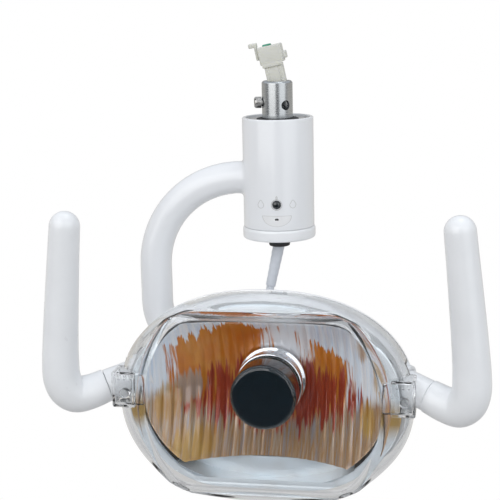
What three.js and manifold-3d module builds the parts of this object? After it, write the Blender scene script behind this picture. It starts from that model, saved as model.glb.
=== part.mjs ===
// Dental operating light: a spigot that plugs into a dental unit's arm, a swivelling sensor housing,
// a C-shaped arm tube, and a tilting halogen head with a clear shield and two handles.
// Millimetres, +Z up, the light shines along -Y. The origin is on the spigot's axis, level with the
// top of the housing, where the light meets the arm that carries it.
import * as THREE from "three";
import { mergeVertices } from "three/addons/utils/BufferGeometryUtils.js";
import Module from "manifold-3d";

const wasm = await Module();
wasm.setup();

// ---------------------------------------------------------------- driving dimensions
const GAP = 0.3; // between pieces that touch
const RUN = 0.3; // radial running clearance of faceted shafts and bores
const ROUND = 20; // facets on a large round
const SMALL = 10; // facets on a screw or a pin

// Spigot and housing, on the Z axis
const SPIGOT_R = 12.5;
const SPIGOT_BORE = 9.5;
const SPIGOT_TOP = 29;
const SPIGOT_END = -54;
const HOUSING_R = 29;
const HOUSING_WALL = 2.7;
const HOUSING_IN = HOUSING_R - HOUSING_WALL;
const SLEEVE_END = -89.2;
const HOUSING_END = -99;
const SENSOR_YAW = THREE.MathUtils.degToRad(5); // the sensor panel looks a little to the right

// C-shaped arm, in the plane Y = 0
const ARM_R = 13.25;
const ARM_WALL = 2;
const ARM_TOP_Z = -50;
const ARM_X = -106;
const ARM_BEND_1 = 75;
const ARM_BEND_2 = 44;
const ARM_END_X = -36.3;

// Tilt axis, along X
const TILT_Z = -200;
const SHAFT_R = 8;

// Head: superellipse outlines about HEAD_Z, depths along Y
const HEAD_Z = -210.7;
const SQUARENESS = 2.2;
const RIM_A = 116;
const RIM_B = 84;
const SHIELD_WALL = 2.5;
const SHIELD_BACK = -76;
const SHIELD_FRONT = -107;
const WINDOW_A = 95;
const WINDOW_B = 95;
const WINDOW_H = 70;
const COVER_A = 110;
const COVER_B = 78.5;
const COVER_BACK = -26;
const COVER_FRONT = -90;
const COVER_WALL = 2.5;
const BOWL_A = 98;
const BOWL_B = 76;
const BOWL_RIM = -92;
const BOWL_DEPTH = 50;
const BOWL_CUT = 57;
const BOWL_WALL = 2;
const OPTICAL_Z = -207;

// Handles, mirrored left to right: the path of the right one
const HANDLE_PATH = [
  [127, -87, -204.2],
  [140, -93, -208.5],
  [149.5, -98, -209],
  [155.5, -102, -203.5],
  [158.5, -104, -194],
  [158.6, -105, -180],
  [156.8, -106, -155],
  [154, -107, -125],
  [151, -108, -95],
  [148.6, -108.6, -72],
];
const HANDLE_RADII = [13.1, 13.9, 14.6, 14.8, 14.7, 14.4, 13.7, 13, 12.3, 11.9];
const STUB_ROOT = new THREE.Vector3(101, -75, -196);
const STUB_DIR = new THREE.Vector3(26, -12, -8.2).normalize();
const STUB_R = 12.4;

const { PI, cos, sin, sqrt, abs, pow, sign } = Math;

// ---------------------------------------------------------------- solids and meshes
// A closed geometry as a manifold solid, turned inside out if its faces point inwards.
function solid(geometry) {
  const flat = geometry.index ? geometry.toNonIndexed() : geometry.clone();
  const bare = new THREE.BufferGeometry().setAttribute("position", flat.getAttribute("position"));
  const merged = mergeVertices(bare, 1e-4);
  const vertProperties = merged.attributes.position.array;
  const triVerts = new Uint32Array(merged.index.array);
  const made = new wasm.Manifold(new wasm.Mesh({ numProp: 3, vertProperties, triVerts }));
  if (made.volume() > 0) return made;
  for (let i = 0; i < triVerts.length; i += 3) {
    [triVerts[i + 1], triVerts[i + 2]] = [triVerts[i + 2], triVerts[i + 1]];
  }
  return new wasm.Manifold(new wasm.Mesh({ numProp: 3, vertProperties, triVerts }));
}

function geometryOf(made) {
  const mesh = made.getMesh();
  const points = new Float32Array(mesh.numVert * 3);
  for (let i = 0; i < mesh.numVert; i++) {
    points.set(mesh.vertProperties.subarray(i * mesh.numProp, i * mesh.numProp + 3), i * 3);
  }
  const geometry = new THREE.BufferGeometry()
    .setAttribute("position", new THREE.BufferAttribute(points, 3))
    .setIndex(new THREE.BufferAttribute(new Uint32Array(mesh.triVerts), 1));
  geometry.computeVertexNormals();
  return geometry;
}

const light = new THREE.Group();

const FINISHES = {
  white: { color: 0xeeeeec, roughness: 0.32, metalness: 0 },
  steel: { color: 0xa9adaa, roughness: 0.28, metalness: 1 },
  chrome: { color: 0xdfe2e4, roughness: 0.08, metalness: 1 },
  bronze: { color: 0xb08d57, roughness: 0.4, metalness: 1 },
  clear: { color: 0xf2f6f8, roughness: 0.05, metalness: 0, transparent: true, opacity: 0.35 },
  dichroic: { color: 0xb5651d, roughness: 0.12, metalness: 0.9 },
  silver: { color: 0xc9c8c2, roughness: 0.25, metalness: 0.8 },
  black: { color: 0x111417, roughness: 0.15, metalness: 0 },
  rubber: { color: 0x1c1e1e, roughness: 0.7, metalness: 0 },
  grey: { color: 0xc9cdd0, roughness: 0.5, metalness: 0 },
  nylon: { color: 0xd9d9cf, roughness: 0.45, metalness: 0 },
  green: { color: 0x2f7d5a, roughness: 0.4, metalness: 0 },
  ceramic: { color: 0xe9e4d8, roughness: 0.5, metalness: 0 },
  fibre: { color: 0x8a5a3a, roughness: 0.8, metalness: 0 },
};

function add(name, made, finish) {
  const material = new THREE.MeshStandardMaterial(FINISHES[finish]);
  const mesh = new THREE.Mesh(geometryOf(made), material);
  mesh.name = name;
  light.add(mesh);
}

// ---------------------------------------------------------------- shape makers
// A solid of revolution; the profile is [radius, height] pairs, height along Z unless turned.
function lathe(profile, segments = ROUND, axis = "z") {
  const points = profile.map(([r, h]) => new THREE.Vector2(r, h));
  const geometry = new THREE.LatheGeometry(points, segments);
  if (axis === "z") geometry.rotateX(PI / 2);
  if (axis === "x") geometry.rotateZ(-PI / 2);
  return solid(geometry);
}

const rod = (r, low, high, segments = ROUND, axis = "z") =>
  lathe([[0, low], [r, low], [r, high], [0, high]], segments, axis);

const tube = (inner, outer, low, high, segments = ROUND, axis = "z") =>
  lathe([[inner, low], [outer, low], [outer, high], [inner, high], [inner, low]], segments, axis);

function box(low, high) {
  const size = high.map((v, i) => v - low[i]);
  const centre = high.map((v, i) => (v + low[i]) / 2);
  return solid(new THREE.BoxGeometry(...size).translate(...centre));
}

const move = (made, x, y, z) => made.translate([x, y, z]);

// A rod from one point to another.
function strut(from, to, r, segments = ROUND) {
  const span = new THREE.Vector3().subVectors(to, from);
  const geometry = new THREE.CylinderGeometry(r, r, span.length(), segments);
  const up = new THREE.Vector3(0, 1, 0);
  const turn = new THREE.Quaternion().setFromUnitVectors(up, span.clone().normalize());
  geometry.applyQuaternion(turn);
  geometry.translate(...new THREE.Vector3().addVectors(from, to).multiplyScalar(0.5));
  return solid(geometry);
}

// A closed skin through rings of the same number of points, with a fan at each end.
function loft(rings) {
  const count = rings[0].length;
  const points = rings.flat();
  const faces = [];
  for (let i = 0; i + 1 < rings.length; i++) {
    for (let j = 0; j < count; j++) {
      const a = i * count + j;
      const b = i * count + ((j + 1) % count);
      faces.push(a, b, a + count, b, b + count, a + count);
    }
  }
  for (const [index, flip] of [[0, true], [rings.length - 1, false]]) {
    const centre = new THREE.Vector3();
    rings[index].forEach((p) => centre.addScaledVector(p, 1 / count));
    points.push(centre);
    for (let j = 0; j < count; j++) {
      const a = index * count + j;
      const b = index * count + ((j + 1) % count);
      faces.push(points.length - 1, ...(flip ? [b, a] : [a, b]));
    }
  }
  const geometry = new THREE.BufferGeometry().setFromPoints(points).setIndex(faces);
  return solid(geometry);
}

// A round sweep along points, with a radius at each point and a sideways reference for the frames.
function sweep(points, radii, sides, reference = new THREE.Vector3(0, 1, 0)) {
  const rings = points.map((p, i) => {
    const before = points[Math.max(i - 1, 0)];
    const after = points[Math.min(i + 1, points.length - 1)];
    const tangent = new THREE.Vector3().subVectors(after, before).normalize();
    const side = new THREE.Vector3().crossVectors(reference, tangent).normalize();
    const normal = new THREE.Vector3().crossVectors(tangent, side);
    return Array.from({ length: sides }, (_, j) => {
      const turn = (2 * PI * j) / sides;
      return p.clone()
        .addScaledVector(side, radii[i] * cos(turn))
        .addScaledVector(normal, radii[i] * sin(turn));
    });
  });
  return loft(rings);
}

// A round pipe of one radius along a smooth curve through points.
function pipe(points, r, sides, steps) {
  const curve = new THREE.CatmullRomCurve3(points, false, "centripetal");
  const section = new THREE.Shape(Array.from({ length: sides }, (_, j) => {
    const turn = (2 * PI * j) / sides;
    return new THREE.Vector2(r * cos(turn), r * sin(turn));
  }));
  return solid(new THREE.ExtrudeGeometry(section, { steps, extrudePath: curve, bevelEnabled: false }));
}

// A superellipse ring in the XZ plane at depth y.
function oval(a, b, y, z = HEAD_Z, sides = 28, power = SQUARENESS) {
  return Array.from({ length: sides }, (_, j) => {
    const turn = (2 * PI * j) / sides;
    const x = a * sign(cos(turn)) * pow(abs(cos(turn)), 2 / power);
    const h = b * sign(sin(turn)) * pow(abs(sin(turn)), 2 / power);
    return new THREE.Vector3(x, y, z + h);
  });
}

const ovalBlock = (a, b, back, front) => loft([oval(a, b, back), oval(a, b, front)]);

// The barrel outline of the window: side arcs cut off at top and bottom, as an XZ prism.
function barrel(a, b, height, back, front, z = HEAD_Z) {
  const steps = 12;
  const shape = new THREE.Shape();
  const side = (i) => -height + (2 * height * i) / steps;
  const reach = (h) => a * sqrt(1 - (h / b) ** 2);
  shape.moveTo(reach(-height), -height);
  for (let i = 1; i <= steps; i++) shape.lineTo(reach(side(i)), side(i));
  for (let i = steps; i >= 0; i--) shape.lineTo(-reach(side(i)), side(i));
  const geometry = new THREE.ExtrudeGeometry(shape, { depth: back - front, bevelEnabled: false });
  return move(solid(geometry.rotateX(PI / 2)), 0, back, z);
}

// The paraboloid inside the reflector, grown by an offset behind and around it.
function bowl(offset) {
  const steps = 5;
  const rings = [];
  for (let i = steps; i >= 1; i--) {
    const t = i / steps;
    const y = BOWL_RIM + BOWL_DEPTH * (1 - t * t) + offset;
    rings.push(oval(BOWL_A * t + offset, BOWL_B * t + offset, y, OPTICAL_Z, 28, 2));
  }
  const rim = oval(BOWL_A + offset, BOWL_B + offset, BOWL_RIM - 0.5, OPTICAL_Z, 28, 2);
  return loft([rim, ...rings]);
}

const cut = (made, ...tools) => tools.reduce((left, tool) => left.subtract(tool), made);
const join = (...pieces) => pieces.reduce((left, piece) => left.add(piece));
const mirrorX = (made) => made.mirror([1, 0, 0]);

// ---------------------------------------------------------------- spigot and supply lead
const LOCK_Z = 11.8;
const STOP_Z = -25;
const RING_Z = -48.3;

function spigot() {
  const body = lathe([
    [SPIGOT_BORE, SPIGOT_END], [SPIGOT_R - 0.6, SPIGOT_END], [SPIGOT_R, SPIGOT_END + 0.8],
    [SPIGOT_R, RING_Z - 2.6], [11, RING_Z - 2.6], [11, RING_Z + 0.2], [SPIGOT_R, RING_Z + 0.2],
    [SPIGOT_R, SPIGOT_TOP - 1.2], [SPIGOT_R - 1.2, SPIGOT_TOP], [SPIGOT_BORE + 0.6, SPIGOT_TOP],
    [SPIGOT_BORE, SPIGOT_TOP - 0.8], [SPIGOT_BORE, SPIGOT_END],
  ]);
  const reach = SPIGOT_R + 5;
  const crossHole = rod(3.9, -reach, reach, SMALL, "y").rotate([0, 0, 42]).translate([0, 0, 9.9]);
  const screwHole = rod(3.3, SPIGOT_BORE - 2, reach, SMALL, "x").rotate([0, 0, 192]);
  const pinHole = rod(2.3, SPIGOT_BORE - 2, reach, SMALL, "y").translate([0, 0, STOP_Z]);
  add("spigot_tube", cut(body, crossHole, screwHole.translate([0, 0, LOCK_Z]), pinHole), "steel");

  // Slotted locking screw, which clamps the arm's socket to the spigot.
  const head = lathe([
    [0, 6.5], [3, 6.5], [3, 12.9], [4.6, 12.9], [4.6, 17.4], [3.8, 18.6], [0, 18.9],
  ], SMALL, "x");
  const slot = box([17.3, -6, -0.7], [20, 6, 0.7]).rotate([40, 0, 0]);
  add("locking_screw", cut(head, slot).rotate([0, 0, 192]).translate([0, 0, LOCK_Z]), "steel");

  const clip = tube(11.3, 18.5, RING_Z - 2.3, RING_Z - 0.2);
  add("retaining_ring", cut(clip, box([-4, 0, -60], [4, 30, -40])), "steel");
  add("stop_pin", rod(2, 9.8, 15.7, SMALL, "y").translate([0, 0, STOP_Z]), "steel");
}

// The supply plug leans a little to the left as it leaves the spigot.
function supplyPlug() {
  const lean = new THREE.Euler(0, THREE.MathUtils.degToRad(-12), 0);
  const turn = new THREE.Matrix4().makeRotationFromEuler(lean).setPosition(1.2, 0, 24);
  const placed = (made) => made.transform(turn.elements);
  const sleeve = cut(box([-7.4, -4.3, 1], [7.4, 4.3, 19]), box([-5.9, -2.8, 12], [5.9, 2.8, 20]));
  add("plug_sleeve", placed(sleeve), "nylon");
  const outer = join(
    box([-9.8, -5.8, 19.3], [9.6, 5.8, 34]),
    box([8.8, -4, 21.5], [12.2, 4, 27.5]),
    box([-8.4, -5.8, 17], [8.4, -4.7, 20]),
  );
  const socket = box([-7.6, -3.8, 26], [7.6, 3.8, 35]);
  add("plug_shell", placed(cut(outer, socket)), "nylon");
  const arm = join(
    box([-12.4, -2.6, 24], [-10.2, 2.6, 37]),
    box([-17.5, -2.6, 36.4], [-9.8, 2.6, 38.2]),
    box([-17.5, -2.6, 33.8], [-15.7, 2.6, 37]),
  );
  add("plug_latch", placed(arm), "nylon");
  add("earth_terminal", placed(box([-5.6, -2.4, 26.4], [1.5, 2.4, 34.6])), "green");
  const contacts = join(
    box([2.4, -2.4, 26.4], [7.2, 2.4, 28.4]),
    box([3, -0.9, 28], [4.4, 0.9, 33.5]),
    box([5.4, -0.9, 28], [6.8, 0.9, 33.5]),
  );
  add("supply_contacts", placed(contacts), "bronze");
  const route = [[1, 0, 24.2], [0.6, 0, 16], [0, 0, 4], [0, 0, -30], [0, 1, -58]];
  const points = route.map((p) => new THREE.Vector3(...p));
  add("supply_lead", pipe(points, 3, 8, 8), "grey");
}

// ---------------------------------------------------------------- housing
const PANEL_Z = -67.9; // centre of the indicator
const LENS_TOP = -77;
const LENS_R = 12.2;

function lensPrism(grow) {
  const shape = new THREE.Shape();
  const drop = 8.6 + grow;
  shape.moveTo(-LENS_R - grow, grow);
  shape.absellipse(0, grow, LENS_R + grow, drop + grow, PI, 2 * PI, false);
  shape.closePath();
  const geometry = new THREE.ExtrudeGeometry(shape, {
    depth: 16, bevelEnabled: false, curveSegments: 8,
  });
  return solid(geometry.rotateX(PI / 2)).translate([0, -20, LENS_TOP]);
}

function housing() {
  const sleeve = lathe([
    [HOUSING_IN, SLEEVE_END], [HOUSING_R, SLEEVE_END], [HOUSING_R, -0.8], [HOUSING_R - 0.8, 0],
    [HOUSING_IN, 0], [HOUSING_IN, SLEEVE_END],
  ], 28);
  const faced = (made) => made.rotate([0, 0, THREE.MathUtils.radToDeg(SENSOR_YAW)]);
  const eye = rod(3.3, -35, -20, SMALL, "y").translate([0, 0, PANEL_Z]);
  const wireHole = rod(6, -35, -20, SMALL, "x").translate([0, 0, ARM_TOP_Z]);
  add("housing_sleeve", cut(sleeve, faced(eye), faced(lensPrism(GAP)), wireHole), "white");

  add("end_plate", tube(17.4, HOUSING_IN - GAP, -5.6, -1.6), "steel");
  add("dust_seal", tube(SPIGOT_R + RUN, 17.1, -4.6, -0.7), "rubber");

  const inner = HOUSING_IN - GAP;
  const carrier = lathe([
    [16.3, -46], [inner, -46], [inner, -40], [21.5, -37], [21.5, -15], [inner, -12],
    [inner, -5.9], [16.3, -5.9], [16.3, -46],
  ]);
  const stopHole = rod(2.3, -25, -14, SMALL, "y").translate([0, 0, STOP_Z]);
  add("bearing_carrier", cut(carrier, stopHole), "steel");
  add("upper_bush", tube(SPIGOT_R + RUN, 16, -20, -6.2), "bronze");
  add("lower_bush", tube(SPIGOT_R + RUN, 16, -46, -31), "bronze");
  add("thrust_washer", tube(SPIGOT_R + RUN, 19, -48.2, -46.4), "nylon");
  add("stop_screw", rod(2, -21, -13.6, SMALL, "y").translate([0, 0, STOP_Z]), "steel");

  const rim = HOUSING_R + 0.9;
  const cap = lathe([
    [8.2, HOUSING_END], [rim - 1.4, HOUSING_END], [rim, HOUSING_END + 1.4], [rim, -91],
    [rim - 0.8, SLEEVE_END - GAP], [inner, SLEEVE_END - GAP], [inner, -84], [inner - 2, -84],
    [inner - 2, -96], [8.2, -96], [8.2, HOUSING_END],
  ], 28);
  const screwPlaces = [30, 210].map((degrees) => {
    const turn = THREE.MathUtils.degToRad(degrees);
    return [20 * cos(turn), 20 * sin(turn)];
  });
  const wells = screwPlaces.map(([x, y]) => rod(3.1, -100, -97.4, SMALL).translate([x, y, 0]));
  const bores = screwPlaces.map(([x, y]) => rod(1.8, -100, -90, SMALL).translate([x, y, 0]));
  add("bottom_cap", cut(cap, ...wells, ...bores), "white");
  screwPlaces.forEach(([x, y], i) => {
    const head = lathe([
      [0, -99.2], [2.4, -99.2], [2.8, -98.8], [2.8, -97.7], [1.5, -97.7], [1.5, -92.5], [0, -92.5],
    ], SMALL);
    const slot = box([-3, -0.4, -99.6], [3, 0.4, -98.5]);
    add(`cap_screw_${i + 1}`, cut(head, slot).translate([x, y, 0]), "steel");
  });
}

function sensor() {
  const faced = (made) => made.rotate([0, 0, THREE.MathUtils.radToDeg(SENSOR_YAW)]);
  const dome = lathe([
    [0, -22.5], [3, -22.5], [3, -29.2], [2.4, -30.1], [1.3, -30.6], [0, -30.8],
  ], SMALL, "y");
  add("indicator_lamp", faced(dome.translate([0, 0, PANEL_Z])), "black");

  const skin = tube(HOUSING_R - 1.6, HOUSING_R + 0.35, -95, -70, 28);
  add("sensor_lens", faced(skin.intersect(lensPrism(0))), "nylon");
  const board = box([-14, -21.4, -83.6], [14, -19.8, -57]);
  add("sensor_board", faced(board), "green");
  for (const [name, x] of [["infrared_emitter", -4.4], ["infrared_receiver", 4.4]]) {
    const diode = lathe([[0, -21.7], [2.4, -21.7], [2.4, -24.4], [1.5, -25.8], [0, -26.4]], SMALL, "y");
    add(name, faced(diode.translate([x, 0, -80.5])), "black");
  }
  add("power_relay", faced(box([-9, -19.5, -80], [9, -8.5, -64])), "black");
  const block = box([-14, 3, -80], [14, 15, -68]);
  const ways = [-8.5, 0, 8.5].map((x) => rod(2.2, -72, -60, SMALL).translate([x, 9, 0]));
  add("terminal_block", cut(block, ...ways), "nylon");
}

// ---------------------------------------------------------------- cable from housing to head
const CABLE_ROUTE = [
  [0, 0, -90], [0, 0, -98], [-0.3, 0, -104], [-2.6, 0, -116], [-5.4, -0.4, -129],
  [-7.9, -1.8, -141], [-9.8, -4.8, -153], [-11.2, -9.2, -164], [-11.9, -13.4, -174],
  [-12, -16, -183], [-12, -17, -191],
];
const CABLE_R = 3.3;
const RELIEF_END = 6; // the strain relief ends at this point of the route
const GLAND_Z = -185.8;

function cable() {
  const points = CABLE_ROUTE.map((p) => new THREE.Vector3(...p));
  add("lamp_cable", pipe(points, CABLE_R, 8, 16), "grey");

  const part = points.slice(1, RELIEF_END);
  const sleeve = new THREE.CatmullRomCurve3(part, false, "centripetal").getPoints(6);
  const outer = sleeve.map((_, i) => 5.3 - i / 6);
  add("strain_relief", cut(sweep(sleeve, outer, 10), pipe(points, CABLE_R + GAP, 8, 16)), "grey");

  const grommet = lathe([
    [5.7, -101.6], [9, -101.6], [9.8, -100.6], [9.8, -99.3], [7.9, -99.3], [7.9, -94],
    [5.7, -94], [5.7, -101.6],
  ]);
  add("cable_grommet", grommet, "rubber");

  const gland = lathe([
    [CABLE_R + 0.5, 0], [6, 0], [6, 3], [4.8, 6], [CABLE_R + 0.5, 6], [CABLE_R + 0.5, 0],
  ], SMALL).rotate([-9, 0, 0]).translate([-12, -16.6, GLAND_Z]);
  add("head_gland", gland, "rubber");
}

// ---------------------------------------------------------------- arm
// A quarter bend in the XZ plane about a centre, from one angle on, as points.
function quarter(x, z, r, start, steps) {
  return Array.from({ length: steps + 1 }, (_, i) => {
    const turn = start + ((PI / 2) * i) / steps;
    return new THREE.Vector3(x + r * cos(turn), 0, z + r * sin(turn));
  });
}

function arm() {
  const path = [
    new THREE.Vector3(-18, 0, ARM_TOP_Z),
    ...quarter(ARM_X + ARM_BEND_1, ARM_TOP_Z - ARM_BEND_1, ARM_BEND_1, PI / 2, 6),
    ...quarter(ARM_X + ARM_BEND_2, TILT_Z + ARM_BEND_2, ARM_BEND_2, PI, 5),
  ];
  const end = new THREE.Vector3(ARM_END_X, 0, TILT_Z);
  const outside = pipe([...path, end], ARM_R, 14, 14);
  const beyond = end.clone().setX(ARM_END_X + 6);
  const inside = pipe([...path, beyond], ARM_R - ARM_WALL, 8, 14);
  const flare = lathe([
    [0, -39], [ARM_R - 0.2, -39], [ARM_R + 0.6, -35], [ARM_R + 2.2, -32], [ARM_R + 5, -29.5],
    [ARM_R + 5, -20], [0, -20],
  ], 20, "x").translate([0, 0, ARM_TOP_Z]);
  const housingSpace = rod(HOUSING_R + GAP, -100, 0, 28);
  add("arm_tube", cut(join(outside, flare), inside, housingSpace), "white");
}

// ---------------------------------------------------------------- tilt joint, on the X axis at TILT_Z
function tiltJoint() {
  const onAxis = (made) => made.translate([0, 0, TILT_Z]);
  const turned = (profile, segments = ROUND) => onAxis(lathe(profile, segments, "x"));
  const ring = (inner, outer, low, high) => onAxis(tube(inner, outer, low, high, ROUND, "x"));

  // The shaft's thicker left end is the plug that is pinned inside the arm tube.
  const plug = ARM_R - ARM_WALL - 1.2;
  const shaft = [
    [0, -60], [plug - 1, -60], [plug, -59], [plug, -38], [SHAFT_R, -37.4], [SHAFT_R, 29.7],
    [6, 30], [6, 38.4], [5.2, 39.2], [0, 39.2],
  ];
  add("pivot_shaft", turned(shaft, 24), "steel");
  add("arm_collar", turned([
    [SHAFT_R + GAP, -36], [14.6, -36], [15.6, -35], [15.6, -29.4], [14.8, -28.6],
    [SHAFT_R + GAP, -28.6], [SHAFT_R + GAP, -36],
  ]), "white");
  add("friction_washer_left", ring(SHAFT_R + RUN, 14.8, -28.2, -24.5), "fibre");
  add("friction_washer_right", ring(SHAFT_R + RUN, 14, 24.5, 27), "fibre");
  add("disc_spring", turned([
    [SHAFT_R + RUN, 27.3], [9.3, 27.3], [13.6, 28.4], [13.6, 29.4], [SHAFT_R + RUN, 28.3],
    [SHAFT_R + RUN, 27.3],
  ]), "steel");
  const nut = cut(rod(10.8, 30.1, 36.5, 6, "x"), rod(6.3, 29, 38, ROUND, "x"));
  add("lock_nut", onAxis(nut), "steel");
  add("pivot_cap", turned([
    [14.9, 24.9], [16.4, 24.9], [16.4, 42], [14.8, 44], [0, 44.6], [0, 42.4], [14, 42.4],
    [14.9, 41], [14.9, 24.9],
  ].map(([r, x]) => [r, x])), "white");
  add("pivot_bush", ring(SHAFT_R + RUN, 11, -23.7, 23.7), "bronze");

  // The head's bracket: a barrel round the bush, a neck and a flange screwed to the rear cover.
  const barrelPart = onAxis(rod(16, -24, 24, ROUND, "x"));
  const neck = box([-18, -23, -213], [18, -8, -187]);
  const flange = box([-30, -25.7, -214], [30, -22, -188]);
  const bore = onAxis(rod(11 + GAP, -30, 30, ROUND, "x"));
  const cablePath = CABLE_ROUTE.slice(-4).map((p) => new THREE.Vector3(...p));
  cablePath.push(new THREE.Vector3(-12, -17.2, -194));
  const cableHole = pipe(cablePath, CABLE_R + GAP + 0.3, 10, 8);
  const screwHoles = BRACKET_SCREWS.map(([x, z]) => (
    rod(2, -40, -10, SMALL, "y").translate([x, 0, z])
  ));
  const leadWay = box([-15, -27, -194], [-9, -16, -189.5]);
  const casting = join(barrelPart, neck, flange);
  const body = cut(casting, bore, cableHole, leadWay, ...screwHoles);
  add("pivot_bracket", body, "white");
  BRACKET_SCREWS.forEach(([x, z], i) => {
    const screw = lathe([
      [0, -18.6], [2, -18.6], [3.2, -19.6], [3.2, -21.7], [1.6, -21.7], [1.6, -28], [0, -28],
    ], SMALL, "y");
    const cross = box([-2.2, -19.6, -0.4], [2.2, -18, 0.4]);
    const drive = join(cross, box([-0.4, -19.6, -2.2], [0.4, -18, 2.2]));
    add(`bracket_screw_${i + 1}`, cut(screw, drive).translate([x, 0, z]), "steel");
  });
}

const BRACKET_SCREWS = [[-24, -200], [24, -200]];

// ---------------------------------------------------------------- head
// Outline of the rear cover: [depth, half width, half height] from the back to the rim.
const COVER_RINGS = [
  [COVER_BACK, 44, 33], [-35, 73, 54], [-50, 95, 69], [-72, COVER_A, COVER_B],
  [COVER_FRONT, COVER_A, COVER_B],
];

function stubSpace(r, low, high) {
  const at = (t) => STUB_ROOT.clone().addScaledVector(STUB_DIR, t);
  return strut(at(low), at(high), r, 14);
}

function rearCover() {
  const outside = loft(COVER_RINGS.map(([y, a, b]) => oval(a, b, y)));
  const inside = loft([
    ...COVER_RINGS.map(([y, a, b]) => oval(a - COVER_WALL, b - COVER_WALL, y - COVER_WALL)),
    oval(COVER_A - COVER_WALL, COVER_B - COVER_WALL, COVER_FRONT - 10),
  ]);
  const lip = ovalBlock(RIM_A, RIM_B, -72.4, SHIELD_BACK + 0.6);
  const boss = cut(stubSpace(STUB_R + 3, -4, 9), ovalBlock(300, 300, COVER_FRONT, -300));
  const shell = join(outside, cut(lip, ovalBlock(COVER_A - 1, COVER_B - 1, -70, -80)));
  const hollow = cut(shell, inside);
  const reach = join(hollow, boss, mirrorX(boss));
  const bore = stubSpace(STUB_R + GAP, 0, 40);
  const vents = [-22, 0, 22].flatMap((x) => [1, -1].map((side) => (
    box([x - 2, -60, HEAD_Z + side * 62 - 20], [x + 2, -41, HEAD_Z + side * 62 + 20])
  )));
  const screwHoles = BRACKET_SCREWS.map(([x, z]) => (
    rod(1.9, -40, -10, SMALL, "y").translate([x, 0, z])
  ));
  const leadHole = box([-15, -35, -193], [-9, -20, -189]);
  const tools = [bowl(BOWL_WALL + 1), bore, mirrorX(bore), ...vents, ...screwHoles, leadHole];
  add("rear_cover", cut(reach, ...tools), "white");
  const wide = stubSpace(STUB_R + 0.8, 0, 40);
  const seal = cut(
    ovalBlock(COVER_A - 0.4, COVER_B - 0.4, COVER_FRONT - GAP, -91.9),
    ovalBlock(COVER_A - 2.7, COVER_B - 2.7, -80, -100),
    wide, mirrorX(wide),
  );
  add("rim_seal", seal, "grey");
}

const FRAME_BACK = -92.2;
const FRAME_FRONT = -96;
const COLLAR_R = 24.6;

function reflector() {
  const keep = box([-150, -100, OPTICAL_Z - BOWL_CUT], [150, 0, OPTICAL_Z + BOWL_CUT]);
  const front = loft([oval(300, 300, BOWL_RIM, OPTICAL_Z, 28, 2), oval(300, 300, -120, OPTICAL_Z, 28, 2)]);
  const hole = rod(COLLAR_R + 0.5, -60, 0, ROUND, "y").translate([0, 0, OPTICAL_Z]);
  const skin = cut(bowl(BOWL_WALL), bowl(0), front, hole);
  add("reflector", skin.intersect(keep), "dichroic");

  // The frame: a front plate with the barrel aperture, and sloping cheeks above and below the bowl.
  const plate = ovalBlock(COVER_A - 3.6, COVER_B - 1.6, FRAME_BACK, FRAME_FRONT);
  const cheeks = ovalBlock(COVER_A - 8, COVER_B - 7.5, -70, FRAME_BACK - 1);
  const aperture = barrel(BOWL_A + 0.4, 82, 65, -60, -120);
  const middle = OPTICAL_Z;
  const slope = (half, y) => [
    new THREE.Vector3(-150, y, middle - half), new THREE.Vector3(150, y, middle - half),
    new THREE.Vector3(150, y, middle + half), new THREE.Vector3(-150, y, middle + half),
  ];
  const wedge = loft([slope(BOWL_CUT + 0.4, -60), slope(BOWL_CUT + 0.4, -69), slope(71, -98)]);
  const opening = aperture.intersect(wedge);
  const sides = box([-150, -92.1, middle - BOWL_CUT - 0.4], [150, -50, middle + BOWL_CUT + 0.4]);
  const stub = stubSpace(STUB_R + 0.8, 0, 40);
  const frame = cut(join(plate, cut(cheeks, sides)), opening, stub, mirrorX(stub));
  add("reflector_frame", frame, "silver");
}

function lamp() {
  const onAxis = (profile, segments = ROUND) => (
    lathe(profile, segments, "y").translate([0, 0, OPTICAL_Z])
  );
  add("lamp_holder", onAxis([
    [0, -28.9], [19, -28.9], [19, -32], [13.8, -32.4], [13.8, -52], [12.6, -53.2], [0, -53.2],
  ]), "ceramic");
  add("lamp_collar", onAxis([
    [14.2, -36], [COLLAR_R, -36], [COLLAR_R, -49.6], [27.6, -50], [27.6, -51.2],
    [COLLAR_R, -52.6], [COLLAR_R, -65.4], [COLLAR_R - 0.6, -66], [23.1, -66], [23.1, -38],
    [14.2, -38], [14.2, -36],
  ]), "chrome");
  add("lamp_glass", onAxis([
    [20.8, -56], [22.8, -56], [22.8, -92], [20.8, -92], [20.8, -56],
  ]), "clear");
  add("halogen_bulb", onAxis([
    [0, -53.5], [4.5, -53.5], [5.6, -56], [5.6, -72], [4.6, -76.5], [2.4, -79.6], [0, -80.6],
  ], SMALL), "clear");
  add("lamp_cap", onAxis([
    [23.2, -76], [25.4, -76], [26, -76.8], [26, -95.6], [24.2, -97.8], [21, -98.2], [0, -98.2],
    [0, -95.4], [22.4, -95.4], [23.2, -94.6], [23.2, -76],
  ]), "black");
}

// ---------------------------------------------------------------- clear shield
const EAR = { low: 99, high: 117.5, bottom: -215.5, top: -187, back: -86, front: -108 };
const SKIRT = -84; // the shield's wall runs straight to here, then curves in to the window

// The rim's oval and the window's barrel as distances from the middle, in one direction.
const ovalReach = (turn) => pow(
  pow(abs(cos(turn)) / RIM_A, SQUARENESS) + pow(abs(sin(turn)) / RIM_B, SQUARENESS),
  -1 / SQUARENESS,
);
const windowReach = (turn) => Math.min(
  WINDOW_H / Math.max(abs(sin(turn)), 1e-6),
  1 / sqrt((cos(turn) / WINDOW_A) ** 2 + (sin(turn) / WINDOW_B) ** 2),
);

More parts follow.
